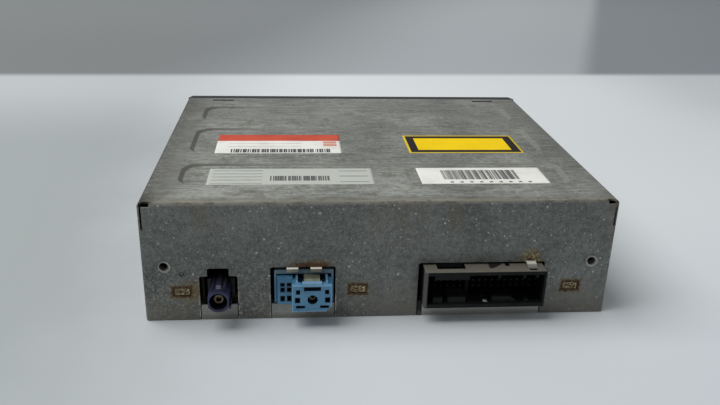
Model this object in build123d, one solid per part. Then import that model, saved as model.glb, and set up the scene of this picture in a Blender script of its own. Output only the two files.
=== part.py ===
"""Slot-in DVD player of a car navigation system, as an assembly of separate pieces.

Frame: millimetres, +Z up, origin at the bottom centre. The connector panel faces -Y
and the disc slot faces +Y. The case is built first, then the connectors, the main
board, the front, and last the disc drive from its cradle inwards.
"""
import math
import os

from build123d import *

os.makedirs("parts", exist_ok=True)

# Case sizes
WIDTH = 180.0
HEIGHT = 48.1
COVER_LENGTH = 151.0
BEZEL_DEPTH = 6.0
PLUG_OUT = 9.0
SHEET = 0.8
FOLD_R = 1.1
GAP = 0.2
HALF = WIDTH / 2
REAR = -(COVER_LENGTH + BEZEL_DEPTH + PLUG_OUT) / 2 + PLUG_OUT
COVER_END = REAR + COVER_LENGTH
FRONT = COVER_END + BEZEL_DEPTH
COVER_BOTTOM = 0.3
COVER_IN = HALF - SHEET
TOP_IN = HEIGHT - SHEET
DISHES = [(19.5, 45.0), (57.5, 95.5), (108.0, 135.0)]
DISH_DROP = 1.0
DISH_HALF = HALF - 11.0

# Chassis sizes
TRAY_HALF = COVER_IN - GAP
TRAY_IN = TRAY_HALF - SHEET
TRAY_REAR = REAR + SHEET + GAP
TRAY_WALL = 18.0
TRAY_WALL_END = FRONT - 17.0
EAR_Y = (-44.0, 40.0)
EAR_HALF = 6.0
EAR_IN = HALF - 11.0
EAR_SCREW_X = HALF - 7.0

# Openings in the rear panel: x from, x to, top
FAKRA_X = 28.5 - HALF
FAKRA_Z = 12.75
FAKRA_NARROW = (FAKRA_X - 4.7, FAKRA_X + 3.4, 22.0)
FAKRA_WIDE = (FAKRA_X - 7.8, FAKRA_X + 6.6, 18.7)
VIDEO_NOTCH = (-42.6, -17.8, 22.2)
MAIN_NOTCH = (HALF - 75.9, HALF - 26.3, 23.1)
TAB_TOP = 6.4
TAB_GAP = 0.35
STAKES = (14.2 - HALF, -9.1, HALF - 15.1)
STAKE_Z = 12.3
PANEL_HOLE_X = HALF - 8.0
PANEL_HOLE_Z = 23.2
PANEL_HOLE_R = 1.65

# Side fixings
COVER_SCREW_Y = (REAR + 16.0, COVER_END - 23.0)
COVER_SCREW_Z = 10.5
DISH_DEPTH = 1.2
DISH_R = 4.6
SIDE_HOLE_Y = (-30.0, 28.0)
SIDE_HOLE_Z = 11.0
SIDE_HOLE_R = 2.1
SIDE_COLLAR = 2.6
COVER_PORT_R = 3.4

# Main board
BOARD_BOTTOM = 5.3
BOARD_TOP = 6.9
BOARD_HALF = HALF - 6.0
BOARD_REAR = REAR + 2.6
BOARD_FRONT = FRONT - 17.0
BOARD_SCREW_X = BOARD_HALF - 5.0
BOARD_SCREW_ROWS = (BOARD_REAR + 5.4, 0.0, BOARD_FRONT - 6.0)
BOARD_SCREWS = [(x, y) for y in BOARD_SCREW_ROWS for x in (-BOARD_SCREW_X, BOARD_SCREW_X)]
BOARD_SCREWS.append((0.0, -20.0))

# Disc and drive
DISC_R = 60.0
SPIN_Y = -1.0
FLOOR_BOTTOM = HEIGHT - 24.9
FLOOR_TOP = FLOOR_BOTTOM + SHEET
EAR_Z = FLOOR_BOTTOM - SHEET
DISC_Z = FLOOR_BOTTOM + 11.4
CONE_TOP = DISC_Z + 2.0
DECK_HALF = HALF - 16.0
DECK_IN = DECK_HALF - SHEET
DECK_REAR = REAR + 8.0
DECK_FRONT = FRONT - 15.0
LID_Z = HEIGHT - 2.9
GUIDE_Z = LID_Z - 3.6
GUIDE_HALF = DECK_HALF - 8.0
SLOT_Z = (DISC_Z + 2.0, DISC_Z + 7.4)
SLOT_HALF = DECK_HALF - 11.0

# Cradle and dampers
CRADLE_X = DECK_HALF + 3.2
CRADLE_TOP = HEIGHT - 6.1
DAMPER_Y = (-50.0, 20.0)
DAMPER_Z = FLOOR_BOTTOM + 10.8
DAMPER_R = 4.0
DAMPER_PIN_R = 1.5

# Running clearance of every shaft in its bore
RUN = 0.05

# Feed roller and its train, places as y, z
ARM_PIVOT = (DECK_FRONT - 20.0, FLOOR_BOTTOM + 7.3)
ROLLER_AT = (DECK_FRONT - 5.0, FLOOR_BOTTOM + 13.4)
ROLLER_END_R = 3.6
ROLLER_MID_R = 3.0
ARM_PLATE_X = DECK_HALF - 12.4
BELT_X = ARM_PLATE_X + 8.4
ROLLER_END_X = ARM_PLATE_X - 2.6
MOTOR_AT = (DECK_FRONT - 35.0, FLOOR_BOTTOM + 5.9)
MOTOR_X = ARM_PLATE_X - 19.6
MODULE = 0.5
BACKLASH = 0.16
PINION_T = 10
BIG_T = 22
SMALL_T = 12
PIVOT_T = 20
PULLEY_R = 3.2

# Sled and its train, places as x, y
PICKUP_X = -24.0
PICKUP_TRAVEL = 34.0
ROD_Y = (-25.0, 23.0)
ROD_Z = FLOOR_BOTTOM + 5.3
ROD_R = 1.5
RACK_LINE = -31.0
SLED_T = 24
SLED_BIG_T = 32
SLED_AT = (-30.0, RACK_LINE - MODULE * SLED_T / 2)
SLED_MOTOR_TURN = 196.0

# Fixing points of the servo board and of the traverse
SERVO_TOP = FLOOR_BOTTOM - 1.2
SERVO_SCREWS = [(-50, -38), (50, -38), (-50, 34), (50, 34)]
TRAV_LEFT = 0.8 - DECK_IN
TRAV_TOP = FLOOR_TOP + 3.0
LUGS = [(x, y) for x in (12.0, TRAV_LEFT + 6.4) for y in (-37.0, 35.0)]

# Clamp arm
CLAMP_Y = DECK_REAR + 8.0
CLAMP_Z = LID_Z - 1.8
CLAMP_ANGLE = 5.6
CLAMP_PLATE = CLAMP_Z
CLAMPER_BOTTOM = GUIDE_Z
SLIDER_TRAVEL = 10.0
STUD_X = 24.0
STUD_Z = FLOOR_BOTTOM + 13.8

# Shutter and button
RECESS = (-SLOT_HALF - 7.0, SLOT_HALF + 7.0, HEIGHT - 22.7, HEIGHT - 3.5)
SHUTTER_Z = (SLOT_Z[0] - 1.4, SLOT_Z[1] + 1.8)
SHUTTER_TRAVEL = 9.0
BUTTON = (HALF - 14.8, HALF - 5.2, HEIGHT - 11.9, HEIGHT - 5.3)
BUTTON_TRAVEL = 1.0


# Shape helpers
def box(x0, x1, y0, y1, z0, z1):
    middle = Pos((x0 + x1) / 2, (y0 + y1) / 2, (z0 + z1) / 2)
    return middle * Box(x1 - x0, y1 - y0, z1 - z0)


def pair(x0, x1, *rest):
    return [box(x0, x1, *rest), box(-x1, -x0, *rest)]


ALONG = {"X": Rot(0, 90, 0), "Y": Rot(-90, 0, 0), "Z": Rot(0, 0, 0)}
LOW = (Align.CENTER, Align.CENTER, Align.MIN)


def cyl(axis, x, y, z, radius, length):
    """Cylinder whose low end is at x, y, z and which runs along the plus axis."""
    return Pos(x, y, z) * ALONG[axis] * Cylinder(radius, length, align=LOW)


def cone(axis, x, y, z, low_r, high_r, length):
    return Pos(x, y, z) * ALONG[axis] * Cone(low_r, high_r, length, align=LOW)


def tube(axis, x, y, z, outer, inner, length):
    return cyl(axis, x, y, z, outer, length) - cyl(axis, x, y, z, inner, length)


def flat_xy(points, z0, z1):
    return extrude(Plane.XY.offset(z0) * Polygon(*points, align=None), amount=z1 - z0)


def flat_xz(points, y0, y1):
    return extrude(Plane.XZ.offset(-y1) * Polygon(*points, align=None), amount=y1 - y0)


def flat_yz(points, x0, x1):
    return extrude(Plane.YZ.offset(x0) * Polygon(*points, align=None), amount=x1 - x0)


def plate_xy(x0, x1, y0, y1, radius, z0, z1):
    outline = Pos((x0 + x1) / 2, (y0 + y1) / 2) * RectangleRounded(x1 - x0, y1 - y0, radius)
    return extrude(Plane.XY.offset(z0) * outline, amount=z1 - z0)


def plate_xz(x0, x1, z0, z1, radius, y0, y1):
    outline = Pos((x0 + x1) / 2, (z0 + z1) / 2) * RectangleRounded(x1 - x0, z1 - z0, radius)
    return extrude(Plane.XZ.offset(-y1) * outline, amount=y1 - y0)


def dished_plate(x0, x1, y0, y1, z, depth, slope, radius):
    """Sloping-sided pocket between z and z - depth, its larger end at z."""
    middle = Pos((x0 + x1) / 2, (y0 + y1) / 2)
    top = middle * RectangleRounded(x1 - x0, y1 - y0, radius)
    low = middle * RectangleRounded(x1 - x0 - 2 * slope, y1 - y0 - 2 * slope, radius - slope)
    return loft([Plane.XY.offset(z - depth) * low, Plane.XY.offset(z) * top], ruled=True)


def screw(axis, x, y, z, shank_r, shank, head_r, head, sign=1):
    """Pan-head screw: the head sits on x, y, z and the shank runs the other way."""
    step = {"X": (1, 0, 0), "Y": (0, 1, 0), "Z": (0, 0, 1)}[axis]

    def at(distance):
        return [s + d * distance for s, d in zip((x, y, z), step)]

    head_low = at(0) if sign > 0 else at(-head)
    shank_low = at(-shank) if sign > 0 else at(0)
    body = cyl(axis, *head_low, head_r, head) + cyl(axis, *shank_low, shank_r, shank)
    slot_low = at(head - 0.5) if sign > 0 else at(-head)
    cross = Pos(*slot_low) * ALONG[axis] * (
        Box(head_r * 1.1, 0.5, 0.5, align=LOW) + Box(0.5, head_r * 1.1, 0.5, align=LOW))
    return body - cross


def tooth_outline(teeth, phase):
    """Points of a spur gear with a tooth centred on the angle phase, in degrees."""
    pitch = MODULE * teeth / 2
    tip = pitch + 0.9 * MODULE
    root = pitch - 1.2 * MODULE
    base = pitch * math.cos(math.radians(20))
    low = max(base, root + 0.05)

    def involute(radius):
        angle = math.acos(min(1.0, base / radius))
        return math.tan(angle) - angle

    half_pitch = (math.pi * MODULE / 2 - BACKLASH) / 2 / pitch

    def half(radius):
        return half_pitch + involute(pitch) - involute(radius)

    flank = [(root, half(low)), (low, half(low)), (pitch, half_pitch), (tip, half(tip))]
    points = []
    for n in range(teeth):
        middle = math.radians(phase) + 2 * math.pi * n / teeth
        for radius, angle in flank:
            points.append((radius * math.cos(middle - angle), radius * math.sin(middle - angle)))
        for radius, angle in reversed(flank):
            points.append((radius * math.cos(middle + angle), radius * math.sin(middle + angle)))
    return points


def gear(teeth, phase, width):
    return extrude(Polygon(*tooth_outline(teeth, phase), align=None), amount=width)


def meshed_phase(line, teeth):
    """Phase of a gear whose neighbour has a tooth on the line of centres towards it."""
    return line + 180 + 180 / teeth


def save(name, shape):
    export_step(shape, f"parts/{name}.step")


def group(shapes):
    return Compound(children=list(shapes))


# Top cover: one folded sheet with the rear panel and both sides
outer = box(-HALF, HALF, REAR, COVER_END, COVER_BOTTOM, HEIGHT)
long_top = outer.edges().filter_by(Axis.Y).group_by(Axis.Z)[-1]
rear_top = outer.edges().filter_by(Axis.X).group_by(Axis.Z)[-1].group_by(Axis.Y)[0]
rear_side = outer.edges().filter_by(Axis.Z).group_by(Axis.Y)[0]
outer = fillet(long_top + rear_top + rear_side, FOLD_R)
inner = box(-COVER_IN, COVER_IN, REAR + SHEET, COVER_END + 5, -5, TOP_IN)
long_top = inner.edges().filter_by(Axis.Y).group_by(Axis.Z)[-1]
rear_top = inner.edges().filter_by(Axis.X).group_by(Axis.Z)[-1].group_by(Axis.Y)[0]
rear_side = inner.edges().filter_by(Axis.Z).group_by(Axis.Y)[0]
inner = fillet(long_top + rear_top + rear_side, FOLD_R - SHEET)
cover = outer - inner

for near, far in DISHES:
    cover += dished_plate(-DISH_HALF, DISH_HALF, REAR + near, REAR + far, TOP_IN, DISH_DROP, 2.0, 8.0)
for near, far in DISHES:
    cover -= dished_plate(-DISH_HALF, DISH_HALF, REAR + near, REAR + far, HEIGHT, DISH_DROP, 2.0, 8.0)

cuts = [
    plate_xz(FAKRA_WIDE[0], FAKRA_WIDE[1], -5, FAKRA_WIDE[2], 0.8, REAR - 1, REAR + 1.5),
    plate_xz(FAKRA_NARROW[0], FAKRA_NARROW[1], 5, FAKRA_NARROW[2], 0.8, REAR - 1, REAR + 1.5),
    plate_xz(VIDEO_NOTCH[0], VIDEO_NOTCH[1], -5, VIDEO_NOTCH[2], 0.9, REAR - 1, REAR + 1.5),
    plate_xz(MAIN_NOTCH[0], MAIN_NOTCH[1], -5, MAIN_NOTCH[2], 0.9, REAR - 1, REAR + 1.5),
]
for x in STAKES:
    cuts.append(box(x - 3.1, x + 3.1, REAR - 1, REAR + 1.5, STAKE_Z - 1.65, STAKE_Z + 1.65))
cuts += pair(HALF - 4.4, HALF - 0.6, REAR - 1, REAR + 1.3, HEIGHT - 1.25, HEIGHT + 1)
cuts += [cyl("Z", x, REAR + 1.3, HEIGHT - 1.25, 1.7, 3) for x in (-HALF + 2.7, HALF - 2.7)]
cuts += pair(COVER_IN - 0.7, COVER_IN, REAR - 1, REAR + 1.5, HEIGHT - 10.1, HEIGHT - 1)
cuts += pair(HALF - 24.4, HALF - 13.8, COVER_END - 4.7, COVER_END - 3.7, HEIGHT - 2, HEIGHT + 1)
cuts.append(cyl("Y", 14.4 - HALF, REAR - 1, 19.6, 0.9, 1.35))
cover -= cuts

for side in (-1, 1):
    x = side * PANEL_HOLE_X
    cover += cyl("Y", x, REAR - 0.3, PANEL_HOLE_Z, 2.65, SHEET + 2.5)
    cover -= cyl("Y", x, REAR - 1, PANEL_HOLE_Z, PANEL_HOLE_R, 6)
    wall = side * COVER_IN
    for y in COVER_SCREW_Y:
        inward = cone("X", 0, 0, 0, DISH_R, DISH_R - DISH_DEPTH, DISH_DEPTH)
        turn = Rot(0, 0, 180) if side > 0 else Rot(0, 0, 0)
        cover += Pos(wall, y, COVER_SCREW_Z) * turn * inward
        cover -= Pos(side * HALF, y, COVER_SCREW_Z) * turn * inward
        low = min(side * HALF, side * (HALF - 4))
        cover -= cyl("X", low, y, COVER_SCREW_Z, 1.6, 4)
    for y in SIDE_HOLE_Y:
        low = min(side * (HALF + 1), side * (HALF - 2))
        cover -= cyl("X", low, y, SIDE_HOLE_Z, COVER_PORT_R, 3)
save("top_cover", cover)

# Bottom chassis: a folded tray that carries the board, the cradle and the front
tray = box(-TRAY_HALF, TRAY_HALF, TRAY_REAR, COVER_END - 0.4, 0, SHEET)
tray += pair(TRAY_IN, TRAY_HALF, TRAY_REAR, TRAY_WALL_END, 0, TRAY_WALL)
rear_wall = box(-TRAY_HALF, TRAY_HALF, TRAY_REAR, TRAY_REAR + SHEET, 0, 17.0)
for low, high, top in (FAKRA_WIDE, VIDEO_NOTCH, MAIN_NOTCH):
    rear_wall -= box(low, high, TRAY_REAR - 1, TRAY_REAR + 2, SHEET, 30)
tray += rear_wall
for low, high, top in (FAKRA_WIDE, VIDEO_NOTCH, MAIN_NOTCH):
    tray += box(low + TAB_GAP, high - TAB_GAP, REAR + 0.1, TRAY_REAR + 1, 0, SHEET)
    tray += box(low + TAB_GAP, high - TAB_GAP, REAR + 0.1, REAR + 0.1 + SHEET, 0, TAB_TOP)
for x in STAKES:
    stake = box(x - 2.8, x + 2.8, REAR + 0.15, TRAY_REAR + 0.1, STAKE_Z - 1.35, STAKE_Z + 1.35)
    chisel = Pos(x, REAR + 0.15, STAKE_Z) * Rot(0, 14, 0) * Box(4.2, 0.7, 0.6)
    tray += stake - chisel
for side in (-1, 1):
    for y in EAR_Y:
        low, high = sorted((side * TRAY_IN, side * TRAY_HALF))
        tray += box(low, high, y - EAR_HALF, y + EAR_HALF, TRAY_WALL - 1, EAR_Z + SHEET)
        low, high = sorted((side * EAR_IN, side * TRAY_HALF))
        tray += box(low, high, y - EAR_HALF, y + EAR_HALF, EAR_Z, EAR_Z + SHEET)
        tray -= cyl("Z", side * EAR_SCREW_X, y, EAR_Z - 1, 1.25, 3)
    turn = Rot(0, 0, 180) if side > 0 else Rot(0, 0, 0)
    for y in COVER_SCREW_Y:
        inward = cone("X", 0, 0, 0, DISH_R, DISH_R - DISH_DEPTH, DISH_DEPTH)
        tray += Pos(side * TRAY_IN, y, COVER_SCREW_Z) * turn * inward
        tray += Pos(side * TRAY_IN, y, COVER_SCREW_Z) * turn * cyl("X", 0, 0, 0, 2.6, 3.2)
        tray -= Pos(side * TRAY_HALF, y, COVER_SCREW_Z) * turn * inward
        tray -= Pos(side * TRAY_HALF, y, COVER_SCREW_Z) * turn * cyl("X", -1, 0, 0, 1.5, 7)
    for y in SIDE_HOLE_Y:
        collar = cyl("X", 0, 0, 0, 3.2, SIDE_COLLAR - SHEET)
        tray += Pos(side * TRAY_IN, y, SIDE_HOLE_Z) * turn * collar
        tray -= Pos(side * TRAY_HALF, y, SIDE_HOLE_Z) * turn * cyl("X", -1, 0, 0, SIDE_HOLE_R, 6)
for x in (-38.0, 38.0):
    tray += box(x - 22, x + 22, -48, 48, SHEET, SHEET + 1.0)
    tray -= box(x - 22 + SHEET, x + 22 - SHEET, -48 + SHEET, 48 - SHEET, -1, 1.0)
for x, y in BOARD_SCREWS:
    tray += cyl("Z", x, y, SHEET, 3.2, BOARD_BOTTOM - SHEET)
    tray -= cyl("Z", x, y, -1, 1.25, 8)
tray -= pair(HALF - 30.0, HALF - 18.0, COVER_END - 4.7, COVER_END - 3.5, -1, 2)
save("bottom_chassis", tray)

# Cover screws, two on each side
screws = []
for side in (-1, 1):
    for y in COVER_SCREW_Y:
        x = side * (HALF - DISH_DEPTH)
        screws.append(screw("X", x, y, COVER_SCREW_Z, 1.45, 5.4, 2.7, 1.1, side))
save("cover_screws", group(screws))

# Aerial connector: keyed round housing with a ridged back
out = REAR - PLUG_OUT
shell = cyl("Y", FAKRA_X, out, FAKRA_Z, 4.35, PLUG_OUT + 5.5)
shell &= box(FAKRA_X - 3.8, FAKRA_X + 3.8, out - 1, REAR + 6, 5, 20)
shell += plate_xz(FAKRA_X - 2.9, FAKRA_X + 2.9, 12, 17.1, 0.6, out + 1.6, REAR + 5.5)
for dx in (-2.5, 2.0):
    shell += box(FAKRA_X + dx, FAKRA_X + dx + 0.6, out + 2.2, REAR + 5, 16.8, 17.7)
shell += box(FAKRA_X - 0.9, FAKRA_X + 0.9, out + 3.4, REAR + 5, 16.8, 18.0)
ramp = [(out + 1.7, 16.9), (out + 3.5, 16.9), (out + 3.5, 18.0)]
shell += flat_yz(ramp, FAKRA_X - 0.9, FAKRA_X + 0.9)
shell += box(FAKRA_X + 3.6, FAKRA_X + 4.4, out + 0.8, REAR + 3, 9.4, 10.6)
shell += box(FAKRA_X - 5.2, FAKRA_X + 5.2, REAR + 4.6, REAR + 13.5, BOARD_TOP, 15.4)
shell -= cyl("Y", FAKRA_X, out - 1, FAKRA_Z, 3.35, 9.8)
shell -= cyl("Y", FAKRA_X, out - 1, FAKRA_Z, 1.95, 13.2)
save("fakra_housing", shell)

barrel = cyl("Y", FAKRA_X, out + 8.6, FAKRA_Z, 1.95, 3.6)
barrel += cyl("Y", FAKRA_X, out + 2.2, FAKRA_Z, 1.75, 6.4)
barrel -= cyl("Y", FAKRA_X, out, FAKRA_Z, 1.05, 8)
barrel += cyl("Y", FAKRA_X, out + 3.4, FAKRA_Z, 0.35, 5)
legs = [box(FAKRA_X - 7.0, FAKRA_X - 6.2, REAR + 2.7, REAR + 12.6, BOARD_TOP, 17.8)]
legs[0] += box(FAKRA_X - 7.0, FAKRA_X - 5.2, REAR + 11.8, REAR + 12.6, BOARD_TOP, 15)
legs.append(box(FAKRA_X + 5.2, FAKRA_X + 6.0, REAR + 2.7, REAR + 12.6, BOARD_TOP, 9.6))
save("fakra_contact", group([barrel] + legs))

# Video connector: a shell, a two by three block and a shielded coaxial block
SHELL = (-41.1, -18.6, 20.8)
SHELL_FRONT = REAR + 0.3
COAX_X = -26.75
COAX_Z = 12.4
COAX_POCKETS = [(4.7, 6.1, 14.8, 16.5, 4), (4.7, 6.5, 11.2, 13.3, 4), (2.9, 6.1, 8.9, 9.9, 3)]
SIGNAL_WAYS = [(x, z, tall) for x in (-38.0, -35.5) for z, tall in ((15.3, 0.6), (13.1, 0.8), (9.3, 1.05))]
LATCH_WELL = (-32.2, -21.7, 16.9)
video = box(SHELL[0], SHELL[1], SHELL_FRONT, REAR + 13, BOARD_TOP, SHELL[2])
hollow_top = SHELL[2] - 1.6
video -= box(SHELL[0] + 0.8, SHELL[1] - 0.8, SHELL_FRONT - 1, REAR + 7, BOARD_TOP - 1, hollow_top)
video += box(-40.0, -34.2, REAR - 1.2, REAR + 8, BOARD_TOP, 18.4)
block = [(-34.4, 7.4), (-21.6, 7.4), (-19.5, 9.6), (-19.5, 18.4), (-34.4, 18.4)]
coax = flat_xz(block, REAR - 8.0, REAR + 8)
for low, high in ((-34.4, LATCH_WELL[0] - 0.8), (LATCH_WELL[1] + 0.8, -19.5)):
    coax -= box(low, high, REAR - 6.4, REAR + 8, 17.4, 19)
ridge = [(REAR - 8.0, 18.2), (REAR - 5.5, 18.2), (REAR - 5.5, 19.0), (REAR - 7.5, 19.0)]
coax += flat_yz(ridge, -30.5, -23.2)
rim = [(REAR - 6.6, 18.2), (REAR + 0.2, 18.2), (REAR + 0.2, 18.9), (REAR - 5.0, 18.9)]
for low in (LATCH_WELL[0] - 0.8, LATCH_WELL[1]):
    coax += flat_yz(rim, low, low + 0.8)
coax -= plate_xy(LATCH_WELL[0], LATCH_WELL[1], REAR - 5.5, REAR + 3, 1.4, LATCH_WELL[2], 20)
coax -= cyl("Y", COAX_X, REAR - 9, COAX_Z, 1.95, 9)
coax -= box(-29.9, -23.7, REAR - 9, REAR - 6.2, 16.2, 17.7)
for near, far, low, high, deep in COAX_POCKETS:
    for x0, x1 in ((COAX_X + near, COAX_X + far), (COAX_X - far, COAX_X - near)):
        coax -= box(x0, x1, REAR - 9, REAR - 8 + deep, low, high)
video += coax
for x, z, tall in SIGNAL_WAYS:
    video -= box(x - 0.72, x + 0.72, REAR - 2, REAR + 5, z - tall, z + tall)
save("video_housing", video)

contacts = []
for x, z, tall in SIGNAL_WAYS:
    contacts.append(box(x - 0.32, x + 0.32, REAR + 1.5, REAR + 5, z - 0.32, z + 0.32))
core = tube("Y", COAX_X, REAR - 5.5, COAX_Z, 1.3, 0.8, 5.5)
core += cyl("Y", COAX_X, REAR - 2, COAX_Z, 1.3, 2)
contacts.append(core)
latch = [(REAR - 5.3, LATCH_WELL[2]), (REAR - 4.8, LATCH_WELL[2]), (REAR - 4.8, 17.7), (REAR - 3.2, 18.4)]
latch += [(REAR + 7, 18.4), (REAR + 7, 18.95), (REAR - 3.5, 18.95), (REAR - 5.3, 18.1)]
contacts.append(flat_yz(latch, -29.9, -23.9))
save("video_contacts", group(contacts))

leaves = []
bend = [(REAR + 8, SHELL[2]), (REAR + 8, SHELL[2] + 0.3), (REAR + 1.2, SHELL[2] + 0.3)]
bend += [(REAR + 0.5, 22.0), (REAR - 0.5, 22.0), (REAR - 0.8, 21.7), (REAR - 0.8, 20.3)]
bend += [(REAR - 0.5, 20.3), (REAR - 0.5, 21.55), (REAR - 0.35, 21.7), (REAR + 0.3, 21.7)]
bend.append((REAR + 0.9, SHELL[2]))
for low, high in ((-36.4, -32.0), (-27.4, -23.1)):
    leaves.append(flat_yz(bend, low, high))
save("video_springs", group(leaves))

# Main connector: long black shroud with a stepped roof, keys and rows of pins. Its x runs
# from the left end of the shroud, which stands in the notch.
HEADER_X = MAIN_NOTCH[0] + 1.5
HEADER_LONG = 47.2
HTOP = 22.2
HF = REAR - 6.5
shroud = plate_xz(0, HEADER_LONG, BOARD_TOP, HTOP, 0.5, HF, REAR + 14)
shroud -= box(1.3, HEADER_LONG - 0.8, HF - 1, REAR + 8, BOARD_TOP + 1.5, HTOP - 1.5)
shroud -= box(5.2, 16.2, HF + 3.0, REAR + 1, HTOP - 2, HTOP + 1)
shroud += box(3.9, 17.2, HF + 0.1, HF + 1.3, HTOP - 3.2, HTOP - 1.4)
wedge = [(25.4, REAR + 1), (31.6, REAR + 1), (26.9, REAR - 3.1), (25.7, REAR - 3.1)]
shroud -= flat_xy(wedge, HTOP - 2, HTOP + 1)
shroud -= box(32.0, 33.8, REAR - 1.7, REAR + 1, HTOP - 2, HTOP + 1)
shroud -= box(40.6, 43.6, REAR - 5.5, REAR - 4.3, HTOP - 2, HTOP + 1)
for x in (28.5, 38.2, 43.3):
    shroud += box(x, x + 1.0, HF + 0.8, REAR + 8, HTOP - 3.2, HTOP - 1.4)
shroud += box(3.8, 7.4, HF + 1.0, REAR + 8, BOARD_TOP + 1.4, BOARD_TOP + 4.0)
shroud += box(9.5, 16.4, HF + 1.0, REAR + 8, BOARD_TOP + 1.4, BOARD_TOP + 4.0)
shroud += flat_xz([(26.8, 8.2), (37.4, 8.2), (34.0, 10.8), (26.8, 10.8)], HF + 1.2, REAR + 8)
shroud -= box(23.7, 26.0, HF + 1.6, REAR + 5, BOARD_TOP - 1, BOARD_TOP + 2)
shroud += flat_xz([(39.4, 8.2), (41.6, 8.2), (41.0, 9.6), (39.8, 9.6)], HF + 1.2, REAR + 8)
shroud += box(17.3, 18.3, REAR, REAR + 8, BOARD_TOP + 1, HTOP - 1)
shroud -= cyl("Y", 44.9, HF - 1, 11.0, 0.5, 3)
save("main_header", Pos(HEADER_X, 0, 0) * shroud)

pins = []
for z in (12.4, 14.9, 17.4):
    for n in range(18):
        x = 3.0 + n * 2.5
        if abs(x - 17.8) > 1.2:
            pins.append(box(x - 0.3, x + 0.3, REAR + 1.0, REAR + 8.0, z - 0.3, z + 0.3))
save("header_pins", group([Pos(HEADER_X, 0, 0) * pin for pin in pins]))

bend = [(REAR + 9, HTOP), (REAR + 9, HTOP + 0.3), (REAR + 1, HTOP + 0.3), (REAR - 0.1, HTOP + 0.75)]
bend += [(REAR - 0.3, HTOP + 1.4), (REAR - 1.0, HTOP + 1.4), (REAR - 3.9, HTOP + 0.3), (REAR - 3.9, HTOP)]
bend += [(REAR - 3.5, HTOP), (REAR - 1.2, HTOP + 0.9), (REAR - 0.6, HTOP + 0.9), (REAR + 0.8, HTOP)]
save("header_spring", Pos(HEADER_X, 0, 0) * flat_yz(bend, 40.3, 44.0))

# Main board and what is soldered to it
board = box(-BOARD_HALF, BOARD_HALF, BOARD_REAR, BOARD_FRONT, BOARD_BOTTOM, BOARD_TOP)
board -= [cyl("Z", x, y, BOARD_BOTTOM - 1, 1.7, 4) for x, y in BOARD_SCREWS]
board -= pair(BOARD_HALF - 2, HALF, COVER_SCREW_Y[0] - 6, COVER_SCREW_Y[0] + 6, 0, 10)
board -= pair(BOARD_HALF - 2, HALF, COVER_SCREW_Y[1] - 6, COVER_SCREW_Y[1] + 4.5, 0, 10)
board -= box(BOARD_HALF - 8, HALF, BOARD_FRONT - 5, BOARD_FRONT + 4, 0, 10)
save("main_board", board)

save("board_screws", group(
    [screw("Z", x, y, BOARD_TOP, 1.2, 4.5, 2.6, 1.6) for x, y in BOARD_SCREWS]))

PROCESSORS = [(-8, 22, 31, 31, 2.4), (32, 18, 27, 27, 1.8), (-46, 30, 20, 20, 1.6)]
PROCESSORS.append((8, -48, 14, 10, 1.6))
chips = []
for x, y, wide, deep, tall in PROCESSORS:
    chip = box(x - wide / 2, x + wide / 2, y - deep / 2, y + deep / 2, BOARD_TOP, BOARD_TOP + tall)
    chip -= cyl("Z", x - wide / 2 + 1.6, y - deep / 2 + 1.6, BOARD_TOP + tall - 0.1, 0.7, 1)
    chips.append(chip)
save("processor_chips", group(chips))

MEMORIES = [(-36, 6, 22, 12), (-36, -8, 22, 12), (-58, 8, 22, 12)]
MEMORIES += [(24, -8, 12, 22), (42, -8, 12, 22), (60, 14, 12, 22)]
save("memory_chips", group(
    [box(x - wide / 2, x + wide / 2, y - deep / 2, y + deep / 2, BOARD_TOP, BOARD_TOP + 1.2)
     for x, y, wide, deep in MEMORIES]))

RECEIVER_X = 22.0 - BOARD_HALF
can = box(RECEIVER_X - 16, RECEIVER_X + 16, -54, -26, BOARD_TOP, BOARD_TOP + 5.4)
can -= box(RECEIVER_X - 15.7, RECEIVER_X + 15.7, -53.7, -26.3, BOARD_TOP - 1, BOARD_TOP + 5.1)
for i in range(5):
    for j in range(4):
        can -= cyl("Z", RECEIVER_X - 11 + i * 5.5, -48.5 + j * 5.5, BOARD_TOP + 4, 0.9, 3)
save("receiver_can", can)

GYRO_X = BOARD_HALF - 28.0
gyro = plate_xy(GYRO_X - 10, GYRO_X + 10, 32, 52, 1.5, BOARD_TOP, BOARD_TOP + 9.0)
gyro += cyl("Z", GYRO_X, 42, BOARD_TOP + 9.0, 6.5, 0.6)
save("gyro_sensor", gyro)

POWER_X = BOARD_HALF - 14.0
CANS = [(POWER_X, -44, 5.0, 10.2), (POWER_X - 11.5, -44, 5.0, 10.2)]
CANS += [(POWER_X, -32, 5.0, 10.2), (POWER_X - 22, -44, 4.0, 8.0), (POWER_X - 11, -32, 3.15, 6.0)]
CANS += [(18 - BOARD_HALF, 45, 3.15, 6.0), (26 - BOARD_HALF, 45, 3.15, 6.0)]
cans = []
for x, y, radius, tall in CANS:
    body = cyl("Z", x, y, BOARD_TOP + 0.8, radius, tall - 0.8)
    body += box(x - radius, x + radius, y - radius, y + radius, BOARD_TOP, BOARD_TOP + 1.0)
    body -= tube("Z", x, y, BOARD_TOP + 1.9, radius + 1, radius - 0.35, 0.7)
    cans.append(body)
save("capacitors", group(cans))

coils = []
for x, y in ((POWER_X - 36, -46), (POWER_X - 36, -32), (POWER_X - 23, -31)):
    coil = plate_xy(x - 5, x + 5, y - 5, y + 5, 1.2, BOARD_TOP, BOARD_TOP + 4.6)
    coil -= tube("Z", x, y, BOARD_TOP + 3.9, 3.6, 2.2, 2)
    coils.append(coil)
save("power_coils", group(coils))

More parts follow.
